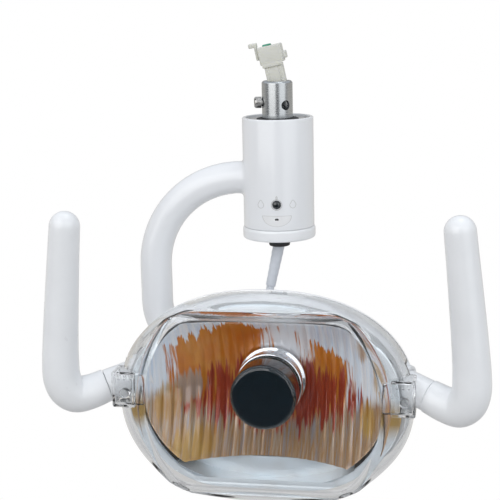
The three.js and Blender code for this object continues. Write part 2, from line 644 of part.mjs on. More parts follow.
// A ring of the shield's wall, from the rim (share 0) to the window's edge (share 1).
function wallRing(share, inset, y) {
  const sides = 32;
  return Array.from({ length: sides }, (_, j) => {
    const turn = (2 * PI * (j + 0.5)) / sides;
    const rim = ovalReach(turn);
    const edge = Math.min(windowReach(turn) + 4, rim - 1.5);
    const reach = rim + (edge - rim) * (1 - cos((share * PI) / 2)) - inset;
    return new THREE.Vector3(reach * cos(turn), y, HEAD_Z + reach * sin(turn));
  });
}

function shieldSkin(inset) {
  const depth = SKIRT - SHIELD_FRONT - 2;
  const rings = [1 / 3, 2 / 3, 1].map((share) => (
    wallRing(share, inset, SKIRT + inset - depth * sin((share * PI) / 2))
  ));
  const rear = wallRing(0, inset, inset ? SHIELD_BACK + 2 : SHIELD_BACK);
  return loft([rear, wallRing(0, inset, SKIRT + inset / 2), ...rings]);
}

function shield() {
  const rib = cut(
    barrel(WINDOW_A + 1, WINDOW_B + 1, WINDOW_H + 1, SHIELD_FRONT + 3.6, SHIELD_FRONT - 1.4),
    barrel(WINDOW_A - 3, WINDOW_B - 3, WINDOW_H - 3, SHIELD_FRONT + 1, SHIELD_FRONT - 4),
  ).intersect(ovalBlock(RIM_A - 3, RIM_B - 3, -90, -120));
  const ear = box([EAR.low, EAR.front, EAR.bottom], [EAR.high, EAR.back, EAR.top]);
  const earHollow = box(
    [EAR.low - 6, EAR.front + 2, EAR.bottom + 2], [EAR.high - 2, EAR.back + 5, EAR.top - 2],
  );
  const slotRound = stubSpace(STUB_R + 1.2, -20, 40);
  const slotRear = box([106, -88.4, -216], [125, -60, -179]);
  const side = (made) => [made, mirrorX(made)];
  const outside = join(shieldSkin(0), rib, ...side(ear));
  const shell = cut(outside, shieldSkin(SHIELD_WALL), ...side(earHollow));
  add("front_shield", cut(shell, ...side(slotRound), ...side(slotRear)), "clear");

  // A release catch inside each ear: a plate with a round thumb boss and grip ribs.
  const plate = box([102, -105.6, -212], [115, -103.6, -189.6]);
  const boss = rod(3.6, -104, -99, SMALL, "y").translate([109, 0, -205]);
  const ribs = [0, 1, 2].map((i) => (
    box([103 + 4.2 * i, -104, -194], [104.6 + 4.2 * i, -101, -190])
  ));
  const catchPiece = join(plate, boss, ...ribs);
  add("shield_catch_right", catchPiece, "clear");
  add("shield_catch_left", mirrorX(catchPiece), "clear");
}

// ---------------------------------------------------------------- handles
function handles() {
  const at = (t) => STUB_ROOT.clone().addScaledVector(STUB_DIR, t);
  const seam = (127 - STUB_ROOT.x) / STUB_DIR.x;
  const points = HANDLE_PATH.map((p) => new THREE.Vector3(...p));
  points[0] = at(seam + GAP);
  const curve = new THREE.CatmullRomCurve3(points, false, "centripetal");
  const steps = 12;
  const fine = curve.getPoints(steps);
  const radii = fine.map((_, i) => {
    const place = (i / steps) * (HANDLE_RADII.length - 1);
    const below = Math.min(Math.floor(place), HANDLE_RADII.length - 2);
    return THREE.MathUtils.lerp(HANDLE_RADII[below], HANDLE_RADII[below + 1], place - below);
  });
  // The domed top end.
  const top = fine[fine.length - 1];
  const rise = new THREE.Vector3().subVectors(top, fine[fine.length - 2]).normalize();
  for (const turn of [0.6, 1.15]) {
    fine.push(top.clone().addScaledVector(rise, 11.9 * sin(turn)));
    radii.push(11.9 * cos(turn));
  }
  const grip = sweep(fine, radii, 12);
  const socket = strut(at(seam - 2), at(seam + 24), 8.6, 10);
  const sleeve = cut(grip, socket, strut(at(-20), at(seam + GAP), 30, 12));
  add("handle_right", sleeve, "white");
  add("handle_left", mirrorX(sleeve), "white");

  const stub = join(
    strut(at(GAP), at(seam), STUB_R, 14),
    strut(at(seam - 2), at(seam + 22), 8.3, 10),
  );
  add("handle_stub_right", stub, "white");
  add("handle_stub_left", mirrorX(stub), "white");
}

spigot();
supplyPlug();
housing();
sensor();
cable();
arm();
tiltJoint();
rearCover();
reflector();
lamp();
shield();
handles();

export default light;
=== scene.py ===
import math

import bmesh
import bpy
from mathutils import Matrix, Vector, noise


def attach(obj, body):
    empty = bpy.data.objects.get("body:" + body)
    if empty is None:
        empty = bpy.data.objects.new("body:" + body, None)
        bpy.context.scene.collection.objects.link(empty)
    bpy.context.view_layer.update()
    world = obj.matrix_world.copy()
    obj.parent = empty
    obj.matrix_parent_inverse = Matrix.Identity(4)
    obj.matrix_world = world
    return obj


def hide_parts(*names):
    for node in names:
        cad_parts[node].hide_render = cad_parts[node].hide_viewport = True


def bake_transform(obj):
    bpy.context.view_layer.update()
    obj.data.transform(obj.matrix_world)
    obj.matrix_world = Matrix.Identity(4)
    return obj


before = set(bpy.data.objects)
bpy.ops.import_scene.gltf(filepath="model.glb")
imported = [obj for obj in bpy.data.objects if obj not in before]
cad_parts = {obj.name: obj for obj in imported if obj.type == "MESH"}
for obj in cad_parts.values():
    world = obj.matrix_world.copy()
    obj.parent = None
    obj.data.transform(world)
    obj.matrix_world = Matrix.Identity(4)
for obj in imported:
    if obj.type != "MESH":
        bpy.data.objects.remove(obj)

MM = 0.001
PI = math.pi
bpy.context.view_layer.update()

# ------------------------------------------------------------------ dimensions, as in the CAD
SPIGOT_R = 12.5
SPIGOT_BORE = 9.5
HOUSING_R = 29.0
HOUSING_IN = 26.3
ARM_R = 13.25
ARM_TOP_Z = -50.0
ARM_X = -106.0
ARM_BEND_1 = 75.0
ARM_BEND_2 = 44.0
ARM_END_X = -36.3
TILT_Z = -200.0
HEAD_Z = -210.7
OPTICAL_Z = -207.0
RIM_A, RIM_B = 116.0, 84.0
WINDOW_A, WINDOW_B, WINDOW_H = 95.0, 95.0, 70.0
SHIELD_BACK, SKIRT, SHIELD_FRONT = -76.0, -84.0, -107.0
SHIELD_WALL = 2.5
COVER_A, COVER_B = 110.0, 78.5
BOWL_A, BOWL_B, BOWL_RIM, BOWL_DEPTH, BOWL_CUT = 98.0, 76.0, -92.0, 50.0, 57.0
COLLAR_R = 24.6
STUB_ROOT = Vector((101, -75, -196))
STUB_DIR = Vector((26, -12, -8.2)).normalized()
STUB_R = 12.4
SEAM = (127 - STUB_ROOT.x) / STUB_DIR.x  # how far along the stub the grip begins
HANDLE_PATH = [  # the rest of the grip's middle line, after the seam
    (140, -93, -208.5), (149.5, -98, -209), (155.5, -102, -203.5), (158.5, -104, -194),
    (158.6, -105, -180), (156.8, -106, -155), (154, -107, -125), (151, -108, -95),
    (148.6, -108.6, -72),
]
HANDLE_RADII = [13.1, 13.9, 14.6, 14.8, 14.7, 14.4, 13.7, 13.0, 12.3, 11.9]
CABLE_ROUTE = [
    (0, 0, -90), (0, 0, -98), (-0.3, 0, -104), (-2.6, 0, -116), (-5.4, -0.4, -129),
    (-7.9, -1.8, -141), (-9.8, -4.8, -153), (-11.2, -9.2, -164), (-11.9, -13.4, -174),
    (-12, -16, -183), (-12, -17, -191),
]
CABLE_R = 3.3
FACE_YAW = math.radians(5)  # the sensor panel looks a little to the right
PANEL_Z = -67.9
LENS_TOP = -77.0

# ------------------------------------------------------------------ camera, light, floor
scene = bpy.context.scene
scene.view_settings.view_transform = "Standard"
scene.view_settings.look = "None"


def make_camera():
    pitch, yaw, roll = math.radians(11.9), math.radians(10.24), math.radians(1.22)
    level = math.cos(pitch)
    forward = Vector((-math.sin(yaw) * level, math.cos(yaw) * level, -math.sin(pitch)))
    camera = bpy.data.objects.new("camera", bpy.data.cameras.new("camera"))
    camera.data.lens = 90.13
    camera.data.sensor_width = 36
    camera.data.clip_start = 0.05
    place = Matrix.Translation((0.1565, -1.0052, 0.104))
    turn = forward.to_track_quat("-Z", "Y").to_matrix().to_4x4()
    camera.matrix_world = place @ turn @ Matrix.Rotation(-roll, 4, "Z")
    scene.collection.objects.link(camera)
    scene.camera = camera


LIT_POINT = Vector((0, 0, -0.15))  # metres; every lamp points at it


def area_light(name, place, size, watts, colour):
    lamp = bpy.data.lights.new(name, "AREA")
    lamp.shape = "RECTANGLE"
    lamp.size, lamp.size_y = size
    lamp.energy = watts
    lamp.color = colour
    obj = bpy.data.objects.new(name, lamp)
    obj.location = place
    obj.rotation_euler = (LIT_POINT - Vector(place)).to_track_quat("-Z", "Y").to_euler()
    scene.collection.objects.link(obj)


def stepped(nodes, stops):
    """A colour ramp of (place, colour) stops."""
    ramp = nodes.new("ShaderNodeValToRGB")
    while len(ramp.color_ramp.elements) < len(stops):
        ramp.color_ramp.elements.new(0.5)
    for element, (at, colour) in zip(ramp.color_ramp.elements, stops):
        element.position = at
        element.color = (*colour, 1)
    return ramp


def map_range(tree, value, source=(0, 1), target=(0, 1), smooth=False):
    """Takes a value from one range to the other; below and above, it stays at the end."""
    node = tree.nodes.new("ShaderNodeMapRange")
    if smooth:
        node.interpolation_type = "SMOOTHSTEP"
    for socket, number in zip(("From Min", "From Max", "To Min", "To Max"), (*source, *target)):
        node.inputs[socket].default_value = number
    tree.links.new(value, node.inputs["Value"])
    return node.outputs[0]


def split_coords(tree, kind):
    """Texture coordinates of one kind, as X, Y and Z."""
    coords = tree.nodes.new("ShaderNodeTexCoord")
    split = tree.nodes.new("ShaderNodeSeparateXYZ")
    tree.links.new(coords.outputs[kind], split.inputs[0])
    return split.outputs


def by_ray(tree, ray, usual, special, target):
    """Feeds the target with one shader, or with the special one for this kind of ray."""
    path = tree.nodes.new("ShaderNodeLightPath")
    mix = tree.nodes.new("ShaderNodeMixShader")
    tree.links.new(path.outputs[ray], mix.inputs[0])
    tree.links.new(usual.outputs[0], mix.inputs[1])
    tree.links.new(special.outputs[0], mix.inputs[2])
    tree.links.new(mix.outputs[0], target)


def make_world():
    """A studio with a bright ceiling, a warm grey wall behind and a dark room before the object."""
    world = bpy.data.worlds.new("studio")
    world.use_nodes = True
    scene.world = world
    tree = world.node_tree
    nodes, links = tree.nodes, tree.links
    nodes.clear()
    split = split_coords(tree, "Generated")
    warm, ceiling, dark = (0.56, 0.54, 0.51), (0.68, 0.71, 0.76), (0.31, 0.315, 0.325)
    behind = stepped(nodes, [
        (0.0, warm), (0.2, warm), (0.34, (0.3, 0.3, 0.31)), (0.5, ceiling), (1.0, ceiling),
    ])
    before = stepped(nodes, [
        (0.0, dark), (0.24, dark), (0.36, (0.55, 0.57, 0.6)), (0.6, ceiling), (1.0, ceiling),
    ])
    room = nodes.new("ShaderNodeMix")
    room.data_type = "RGBA"
    links.new(map_range(tree, split["Y"], (-0.45, 0.15)), room.inputs["Factor"])
    for ramp, slot in ((before, 6), (behind, 7)):
        links.new(split["Z"], ramp.inputs[0])
        links.new(ramp.outputs[0], room.inputs[slot])
    studio = nodes.new("ShaderNodeBackground")
    links.new(room.outputs[2], studio.inputs["Color"])
    white = nodes.new("ShaderNodeBackground")
    white.inputs["Color"].default_value = (1, 1, 1, 1)
    output = nodes.new("ShaderNodeOutputWorld")
    by_ray(tree, "Is Camera Ray", studio, white, output.inputs[0])


def make_floor():
    """White as seen directly; in reflections pale behind the object and dark before it."""
    mesh = bpy.data.meshes.new("floor")
    half, low = 14, -1.3
    corners = [(-half, -half, low), (half, -half, low), (half, half, low), (-half, half, low)]
    mesh.from_pydata(corners, [], [(0, 1, 2, 3)])
    floor = bpy.data.objects.new("floor", mesh)
    scene.collection.objects.link(floor)
    paint = bpy.data.materials.new("floor_white")
    paint.use_nodes = True
    tree = paint.node_tree
    nodes, links = tree.nodes, tree.links
    nodes.clear()
    bounce = stepped(nodes, [
        (0.0, (0.04, 0.042, 0.046)), (0.16, (0.06, 0.06, 0.064)), (0.3, (0.42, 0.42, 0.43)),
        (0.52, (0.62, 0.62, 0.62)), (0.7, (0.72, 0.70, 0.66)), (1.0, (0.6, 0.58, 0.55)),
    ])
    links.new(map_range(tree, split_coords(tree, "Object")["Y"], (-4, 6)), bounce.inputs[0])
    glow = nodes.new("ShaderNodeEmission")
    links.new(bounce.outputs[0], glow.inputs["Color"])
    white = nodes.new("ShaderNodeEmission")
    white.inputs["Color"].default_value = (1, 1, 1, 1)
    output = nodes.new("ShaderNodeOutputMaterial")
    by_ray(tree, "Is Camera Ray", glow, white, output.inputs[0])
    mesh.materials.append(paint)


make_camera()
make_world()
make_floor()
area_light("key", (-1.0, -1.7, 0.6), (2.3, 2.0), 22, (1, 0.99, 0.98))
area_light("fill", (1.4, -1.3, 0.3), (1.8, 2.0), 13, (0.96, 0.98, 1))
area_light("top", (0.25, 0.1, 1.5), (0.9, 0.6), 2.5, (0.94, 0.97, 1))

# ------------------------------------------------------------------ materials


class Paint:
    """A Principled material, with small helpers for procedural inputs in object space."""

    def __init__(self, name, base, roughness, metallic=0.0, **sockets):
        self.material = bpy.data.materials.new(name)
        self.material.use_nodes = True
        self.tree = self.material.node_tree
        self.nodes, self.links = self.tree.nodes, self.tree.links
        self.shader = self.nodes["Principled BSDF"]
        self.shader.inputs["Base Color"].default_value = (*base, 1)
        self.shader.inputs["Roughness"].default_value = roughness
        self.shader.inputs["Metallic"].default_value = metallic
        for socket, value in sockets.items():
            self.shader.inputs[socket.replace("_", " ")].default_value = value
        self.base = base
        self._coords = None

    def coords(self, stretch=(1, 1, 1)):
        if self._coords is None:
            self._coords = self.nodes.new("ShaderNodeTexCoord")
        mapping = self.nodes.new("ShaderNodeMapping")
        mapping.inputs["Scale"].default_value = stretch
        self.links.new(self._coords.outputs["Object"], mapping.inputs["Vector"])
        return mapping.outputs[0]

    def noise(self, scale, stretch=(1, 1, 1), detail=3.0):
        node = self.nodes.new("ShaderNodeTexNoise")
        node.inputs["Scale"].default_value = scale
        node.inputs["Detail"].default_value = detail
        self.links.new(self.coords(stretch), node.inputs["Vector"])
        return node.outputs["Fac"]

    def ramp(self, source, stops):
        node = stepped(self.nodes, stops)
        self.links.new(source, node.inputs[0])
        return node.outputs[0]

    def spread(self, source, low, high):
        return map_range(self.tree, source, target=(low, high))

    def math(self, operation, a, b=None):
        node = self.nodes.new("ShaderNodeMath")
        node.operation = operation
        for slot, value in enumerate((a, b)):
            if value is None:
                continue
            if isinstance(value, (int, float)):
                node.inputs[slot].default_value = value
            else:
                self.links.new(value, node.inputs[slot])
        return node.outputs[0]

    def mix(self, factor, a, b):
        node = self.nodes.new("ShaderNodeMix")
        node.data_type = "RGBA"
        for slot, value in ((0, factor), (6, a), (7, b)):
            if isinstance(value, tuple):
                node.inputs[slot].default_value = (*value, 1)
            elif isinstance(value, (int, float)):
                node.inputs[slot].default_value = value
            else:
                self.links.new(value, node.inputs[slot])
        return node.outputs[2]

    def axis(self, index):
        node = self.nodes.new("ShaderNodeSeparateXYZ")
        self.links.new(self.coords(), node.inputs[0])
        return node.outputs[index]

    def feed(self, socket, source):
        self.links.new(source, self.shader.inputs[socket])

    def tone(self, source, amount):
        """Colour wanders a little round the base."""
        low = tuple(c * (1 - amount) for c in self.base)
        high = tuple(min(1, c * (1 + amount)) for c in self.base)
        self.feed("Base Color", self.ramp(source, [(0.3, low), (0.7, high)]))

    def bump(self, source, strength, distance=0.0002):
        node = self.nodes.new("ShaderNodeBump")
        node.inputs["Strength"].default_value = strength
        node.inputs["Distance"].default_value = distance
        self.links.new(source, node.inputs["Height"])
        self.feed("Normal", node.outputs[0])


def white_enamel(name, base, roughness=0.3):
    paint = Paint(name, base, roughness, Coat_Weight=0.6, Coat_Roughness=0.06)
    paint.tone(paint.noise(14, detail=4), 0.012)
    paint.feed("Roughness", paint.spread(paint.noise(60), roughness - 0.05, roughness + 0.07))
    paint.bump(paint.noise(420, detail=2), 0.045)
    return paint.material


def moulded(name, base, roughness, grain=0.03, **sockets):
    paint = Paint(name, base, roughness, **sockets)
    paint.tone(paint.noise(25, detail=4), 0.03)
    paint.feed("Roughness", paint.spread(paint.noise(110), roughness - 0.06, roughness + 0.06))
    paint.bump(paint.noise(900, detail=3), grain)
    return paint.material


def brushed(name, base, roughness, stretch, amount=0.12):
    paint = Paint(name, base, roughness, 1.0)
    grain = paint.noise(1, stretch, detail=5)
    paint.tone(grain, amount)
    paint.feed("Roughness", paint.spread(grain, roughness - 0.08, roughness + 0.12))
    paint.bump(grain, 0.02, 0.00004)
    return paint.material


def polished(name, base, roughness):
    paint = Paint(name, base, roughness, 1.0)
    smear = paint.noise(35, detail=5)
    paint.tone(smear, 0.03)
    paint.feed("Roughness", paint.spread(smear, roughness * 0.6, roughness * 1.8))
    return paint.material


def clear(name, tint, ior, roughness=0.02):
    """Clear plastic or glass that lets the lamps' light through to what is inside."""
    paint = Paint(name, tint, roughness, Transmission_Weight=1.0, IOR=ior)
    paint.feed("Roughness", paint.spread(paint.noise(30, detail=4), roughness * 0.5, roughness * 2))
    through = paint.nodes.new("ShaderNodeBsdfTransparent")
    through.inputs["Color"].default_value = (*tint, 1)
    surface = paint.nodes["Material Output"].inputs["Surface"]
    by_ray(paint.tree, "Is Shadow Ray", paint.shader, through, surface)
    return paint.material


def gloss_black(name, base, roughness):
    paint = Paint(name, base, roughness, Coat_Weight=1.0, Coat_Roughness=0.03)
    paint.bump(paint.noise(160, detail=2), 0.02)
    return paint.material


FLUTE = 7.54  # width of one flute, mm


def dichroic():
    """Fluted cold-light mirror whose colour zones are painted reflections: a pale silver ground
    where the bright window is reflected, amber where darker surroundings are reflected in the
    coating's own tint, its upper edge broken into teeth by the flutes, deep red round the lamp's
    lower half, tan below and ochre at the sides."""
    paint = Paint("dichroic_mirror", (0.6, 0.27, 0.06), 0.13, 0.2,
                  Coat_Weight=0.8, Coat_Roughness=0.05)
    calc = paint.math
    x = calc("MULTIPLY", paint.axis(0), 1000)
    z = calc("MULTIPLY", paint.axis(2), 1000)
    pick = paint.nodes.new("ShaderNodeTexWhiteNoise")
    pick.noise_dimensions = "1D"
    index = calc("FLOOR", calc("ADD", calc("DIVIDE", x, FLUTE / 2), 0.5))
    paint.links.new(index, pick.inputs["W"])
    spikes = paint.noise(1, (520, 12, 34), detail=5)
    teeth = calc("ADD", calc("MULTIPLY", pick.outputs["Value"], 8), calc("MULTIPLY", spikes, 30))
    streak = paint.noise(1, (620, 30, 22), detail=5)
    cloud = paint.noise(1, (38, 30, 24))

    def inside(value, low, high):
        """0 at low and beyond it, 1 at high and beyond it."""
        return map_range(paint.tree, value, (low, high), smooth=True)

    def patch(centre_x, centre_z, half_x, half_z, soft):
        """An oval patch with a soft, ragged edge."""
        across = calc("POWER", calc("DIVIDE", calc("SUBTRACT", x, centre_x), half_x), 2)
        along = calc("POWER", calc("DIVIDE", calc("SUBTRACT", z, centre_z), half_z), 2)
        ragged = calc("MULTIPLY", calc("SUBTRACT", spikes, 0.5), 5)
        return inside(calc("ADD", calc("ADD", across, along), ragged), 1 + soft, 1 - soft)

    pale = paint.ramp(streak, [
        (0.3, (0.66, 0.79, 0.97)), (0.5, (0.84, 0.91, 0.99)), (0.72, (0.95, 0.96, 0.98)),
    ])
    amber = paint.ramp(cloud, [
        (0.3, (0.52, 0.135, 0.012)), (0.5, (0.60, 0.19, 0.018)), (0.72, (0.66, 0.28, 0.04)),
    ])
    tan = paint.ramp(streak, [
        (0.34, (0.36, 0.33, 0.33)), (0.5, (0.42, 0.24, 0.10)), (0.66, (0.50, 0.42, 0.34)),
    ])
    crimson = paint.ramp(streak, [(0.3, (0.27, 0.018, 0.010)), (0.7, (0.40, 0.055, 0.02))])
    ochre = paint.ramp(cloud, [(0.3, (0.42, 0.20, 0.03)), (0.7, (0.56, 0.34, 0.06))])

    # The painted amber reflection lies under a toothed roof that falls to both sides, between two
    # toothed walls.
    roof = calc("MULTIPLY", calc("ABSOLUTE", calc("ADD", x, 25)), -0.4)
    level = calc("SUBTRACT", calc("ADD", calc("ADD", roof, -168), teeth), z)
    toothed = calc("ADD", x, teeth)
    amber_zone = calc("MULTIPLY", inside(level, -1.2, 1.2), inside(toothed, -62, -56))
    amber_zone = calc("MULTIPLY", amber_zone, inside(toothed, 86, 80))
    # The pale glare round the lamp is a painted reflection of its chrome collar.
    painted_glare = patch(13, -176, 19, 27, 0.45)
    amber_zone = calc("MULTIPLY", amber_zone, calc("SUBTRACT", 1.0, painted_glare))
    # The painted tan reflection lies below a toothed line that rises to both sides.
    rise = calc("MULTIPLY", calc("ABSOLUTE", x), -0.35)
    low = inside(calc("ADD", calc("ADD", z, calc("MULTIPLY", teeth, 0.4)), rise), -229, -243)
    colour = paint.mix(amber_zone, paint.mix(painted_glare, pale, (0.86, 0.87, 0.90)), amber)
    colour = paint.mix(low, colour, tan)
    # Painted reflections: a crimson band round the lamp's lower half, and beige and ochre patches at
    # the sides and below.
    for spot, strength, shade in (
        ((3, -217, 64, 26, 0.3), 0.94, crimson), ((-66, -209, 12, 11, 0.6), 0.8, (0.44, 0.37, 0.30)),
        ((-80, -219, 8, 15, 0.6), 0.7, ochre), ((80, -228, 6, 13, 0.6), 0.7, ochre),
        ((76, -166, 4, 14, 0.6), 0.7, ochre), ((90, -190, 4, 17, 0.6), 0.7, ochre),
        ((-60, -254, 16, 13, 0.6), 0.7, ochre),
    ):
        colour = paint.mix(calc("MULTIPLY", patch(*spot), strength), colour, shade)
    paint.feed("Base Color", colour)
    paint.feed("Roughness", paint.spread(streak, 0.08, 0.22))
    return paint.material


def metallised():
    """Silvered plastic round the mirror, with amber light caught beside the handles."""
    paint = Paint("silvered_plastic", (0.72, 0.71, 0.68), 0.22, 0.45)
    calc = paint.math
    cloud = paint.noise(28, (1, 1, 1.6), detail=4)
    x = calc("MULTIPLY", paint.axis(0), 1000)
    z = calc("MULTIPLY", paint.axis(2), 1000)
    level = map_range(paint.tree, calc("ABSOLUTE", calc("ADD", z, 221)), (16, 4))
    side = map_range(paint.tree, calc("ABSOLUTE", x), (84, 96))
    base = paint.ramp(cloud, [
        (0.3, (0.78, 0.81, 0.83)), (0.5, (0.83, 0.90, 0.95)), (0.7, (0.88, 0.94, 0.98)),
    ])
    # Painted amber light: a warm patch in the base colour beside the handles.
    paint.feed("Base Color", paint.mix(calc("MULTIPLY", level, side), base, (0.50, 0.33, 0.12)))
    paint.feed("Roughness", paint.spread(cloud, 0.14, 0.34))
    return paint.material


ENAMEL = white_enamel("white_enamel", (0.86, 0.875, 0.895))
CASTING = white_enamel("white_casting", (0.84, 0.84, 0.85), 0.36)
WHITE = moulded("white_moulding", (0.86, 0.875, 0.89), 0.3, Coat_Weight=0.35, Coat_Roughness=0.1)
STEEL = brushed("brushed_steel", (0.50, 0.52, 0.53), 0.24, (40, 40, 2600), 0.08)
STEEL_SMALL = brushed("screw_steel", (0.52, 0.51, 0.49), 0.3, (1500, 1500, 1500), 0.2)
PLATE = brushed("plate_steel", (0.58, 0.58, 0.57), 0.3, (1800, 60, 60), 0.15)
SPRING = brushed("spring_steel", (0.25, 0.255, 0.27), 0.32, (1200, 1200, 1200))
BRONZE = brushed("bronze", (0.55, 0.36, 0.15), 0.35, (1500, 1500, 60))
ALUMINIUM = brushed("turned_aluminium", (0.68, 0.69, 0.71), 0.3, (60, 60, 2600))
CHROME = polished("chrome", (0.80, 0.82, 0.85), 0.07)
BLACK_CAP = gloss_black("black_enamel", (0.001, 0.005, 0.008), 0.12)
BLACK = moulded("black_moulding", (0.012, 0.012, 0.014), 0.2)
RUBBER = moulded("black_rubber", (0.02, 0.02, 0.021), 0.62, 0.2)
CLEAR = clear("clear_polycarbonate", (0.985, 0.99, 0.995), 1.5)
GLASS = clear("lamp_glass", (0.93, 0.96, 0.98), 1.47, 0.03)
WINDOW = moulded("sensor_window", (0.83, 0.835, 0.84), 0.18, 0.01)
NYLON = moulded("natural_nylon", (0.68, 0.68, 0.62), 0.38, 0.05, Subsurface_Weight=0.35,
                Subsurface_Radius=(0.004, 0.004, 0.003))
GREEN = moulded("green_moulding", (0.05, 0.30, 0.19), 0.35)
CABLE = moulded("grey_sheath", (0.60, 0.63, 0.68), 0.42, 0.06)
BOARD = moulded("solder_mask", (0.02, 0.16, 0.07), 0.3)
CERAMIC = moulded("steatite", (0.74, 0.70, 0.61), 0.6, 0.15)
FIBRE = moulded("friction_fibre", (0.20, 0.12, 0.07), 0.85, 0.4)
SILICONE = moulded("grey_silicone", (0.52, 0.53, 0.54), 0.5, 0.08)
ICON = moulded("icon_grey", (0.56, 0.56, 0.55), 0.4)
DICHROIC = dichroic()
SILVER = metallised()

# ------------------------------------------------------------------ shape makers


def new_object(name, points, faces):
    mesh = bpy.data.meshes.new(name)
    mesh.from_pydata([tuple(c * MM for c in p) for p in points], [], faces)
    obj = bpy.data.objects.new(name, mesh)
    scene.collection.objects.link(obj)
    tidy(obj)
    return obj


def tidy(obj):
    bm = bmesh.new()
    bm.from_mesh(obj.data)
    bmesh.ops.remove_doubles(bm, verts=bm.verts, dist=1e-6)
    bmesh.ops.recalc_face_normals(bm, faces=bm.faces)
    bm.to_mesh(obj.data)
    bm.free()


def apply_modifiers(obj):
    """The object with its modifiers turned into plain mesh."""
    bpy.context.view_layer.update()
    evaluated = obj.evaluated_get(bpy.context.evaluated_depsgraph_get())
    mesh = bpy.data.meshes.new_from_object(evaluated)
    obj.modifiers.clear()
    old = obj.data
    obj.data = mesh
    bpy.data.meshes.remove(old)
    mesh.name = obj.name
    return obj


def boolean(obj, tool, operation="DIFFERENCE"):
    step = obj.modifiers.new("cut", "BOOLEAN")
    step.object = tool
    step.operation = operation
    step.solver = "EXACT"
    apply_modifiers(obj)
    bpy.data.objects.remove(tool)
    return obj


def bevel(obj, width, segments=3, angle=30):
    step = obj.modifiers.new("edges", "BEVEL")
    step.width = width * MM
    step.segments = segments
    step.limit_method = "ANGLE"
    step.angle_limit = math.radians(angle)
    step.harden_normals = False
    return apply_modifiers(obj)


def curve(start, corner, end, t):
    """A point on the round-off between start and end."""
    return start * (1 - t) ** 2 + corner * 2 * t * (1 - t) + end * t ** 2


def soften(outline, steps=5):
    """An outline of (r, h) or (r, h, fillet) corners with each filleted corner rounded off."""
    closed = outline[0][:2] == outline[-1][:2]
    corners = outline[:-1] if closed else outline
    count = len(corners)
    points = []
    for i, corner in enumerate(corners):
        fillet = corner[2] if len(corner) > 2 else 0
        here = Vector(corner[:2])
        if not fillet or (not closed and i in (0, count - 1)):
            points.append(here)
            continue
        before = Vector(corners[i - 1][:2]) - here
        after = Vector(corners[(i + 1) % count][:2]) - here
        a = here + before.normalized() * min(fillet, before.length * 0.49)
        b = here + after.normalized() * min(fillet, after.length * 0.49)
        for k in range(steps + 1):
            points.append(curve(a, here, b, k / steps))
    if closed:
        points.append(points[0].copy())
    return points


def axis_point(axis, r, h, turn):
    c, s = r * math.cos(turn), r * math.sin(turn)
    return {"x": (h, c, s), "y": (c, h, s), "z": (c, s, h)}[axis]


def lathe(name, outline, axis="z", segments=96, at=(0, 0, 0), steps=5):
    points, faces = [], []
    profile = soften(outline, steps)
    closed = (profile[0] - profile[-1]).length < 1e-9
    if closed:
        profile = profile[:-1]
    rows = []
    for r, h in profile:
        if r < 1e-6:
            rows.append([len(points)])
            points.append(Vector(axis_point(axis, 0, h, 0)) + Vector(at))
        else:
            rows.append(list(range(len(points), len(points) + segments)))
            for k in range(segments):
                points.append(Vector(axis_point(axis, r, h, 2 * PI * k / segments)) + Vector(at))
    pairs = list(zip(rows, rows[1:])) + ([(rows[-1], rows[0])] if closed else [])
    for a, b in pairs:
        if len(a) == 1 and len(b) == 1:
            continue
        for k in range(segments):
            k2 = (k + 1) % segments
            if len(a) == 1:
                faces.append((a[0], b[k], b[k2]))
            elif len(b) == 1:
                faces.append((a[k], b[0], a[k2]))
            else:
                faces.append((a[k], b[k], b[k2], a[k2]))
    return new_object(name, points, faces)


def band(i, j, count):
    """The faces between ring i and ring j, each of count points."""
    return [(i * count + k, i * count + (k + 1) % count, j * count + (k + 1) % count, j * count + k)
            for k in range(count)]


def rings(name, rows, capped=True):
    """A skin through rings of equal length; capped with a fan at both ends, or closed on itself."""
    count, total = len(rows[0]), len(rows)
    points = [p for row in rows for p in row]
    faces = []
    for i in range(total - 1 if capped else total):
        faces += band(i, (i + 1) % total, count)
    for i in (0, total - 1) if capped else ():
        middle = len(points)
        points.append(sum((Vector(p) for p in rows[i]), Vector()) / count)
        for k in range(count):
            faces.append((middle, i * count + k, i * count + (k + 1) % count))
    return new_object(name, points, faces)


def double_skin(name, points, m, n):
    """A plate with two skins of m by n cells each, joined round their rims."""
    row, layer = n + 1, (m + 1) * (n + 1)
    faces = []
    for i in range(m):
        for j in range(n):
            a = i * row + j
            b = a + layer
            faces += [(a, a + 1, a + row + 1, a + row), (b, b + row, b + row + 1, b + 1)]
    rim = [i * row for i in range(m + 1)] + [m * row + j for j in range(1, n + 1)]
    rim += [i * row + n for i in range(m - 1, -1, -1)] + list(range(n - 1, 0, -1))
    for a, b in zip(rim, rim[1:] + rim[:1]):
        faces.append((a, b, b + layer, a + layer))
    return new_object(name, points, faces)


def smooth_path(points, per_span=8):
    """Points along a centripetal Catmull-Rom curve, the same curve as in the CAD."""
    points = [Vector(p) for p in points]
    extended = [points[0] * 2 - points[1], *points, points[-1] * 2 - points[-2]]
    out = []
    for i in range(1, len(extended) - 2):
        p0, p1, p2, p3 = extended[i - 1:i + 3]
        t0 = 0.0
        t1 = t0 + (p1 - p0).length ** 0.5
        t2 = t1 + (p2 - p1).length ** 0.5
        t3 = t2 + (p3 - p2).length ** 0.5
        for k in range(per_span):
            t = t1 + (t2 - t1) * k / per_span
            a1 = p0 * ((t1 - t) / (t1 - t0)) + p1 * ((t - t0) / (t1 - t0))
            a2 = p1 * ((t2 - t) / (t2 - t1)) + p2 * ((t - t1) / (t2 - t1))
            a3 = p2 * ((t3 - t) / (t3 - t2)) + p3 * ((t - t2) / (t3 - t2))
            b1 = a1 * ((t2 - t) / (t2 - t0)) + a2 * ((t - t0) / (t2 - t0))
            b2 = a2 * ((t3 - t) / (t3 - t1)) + a3 * ((t - t1) / (t3 - t1))
            out.append(b1 * ((t2 - t) / (t2 - t1)) + b2 * ((t - t1) / (t2 - t1)))
    out.append(points[-1])
    return out


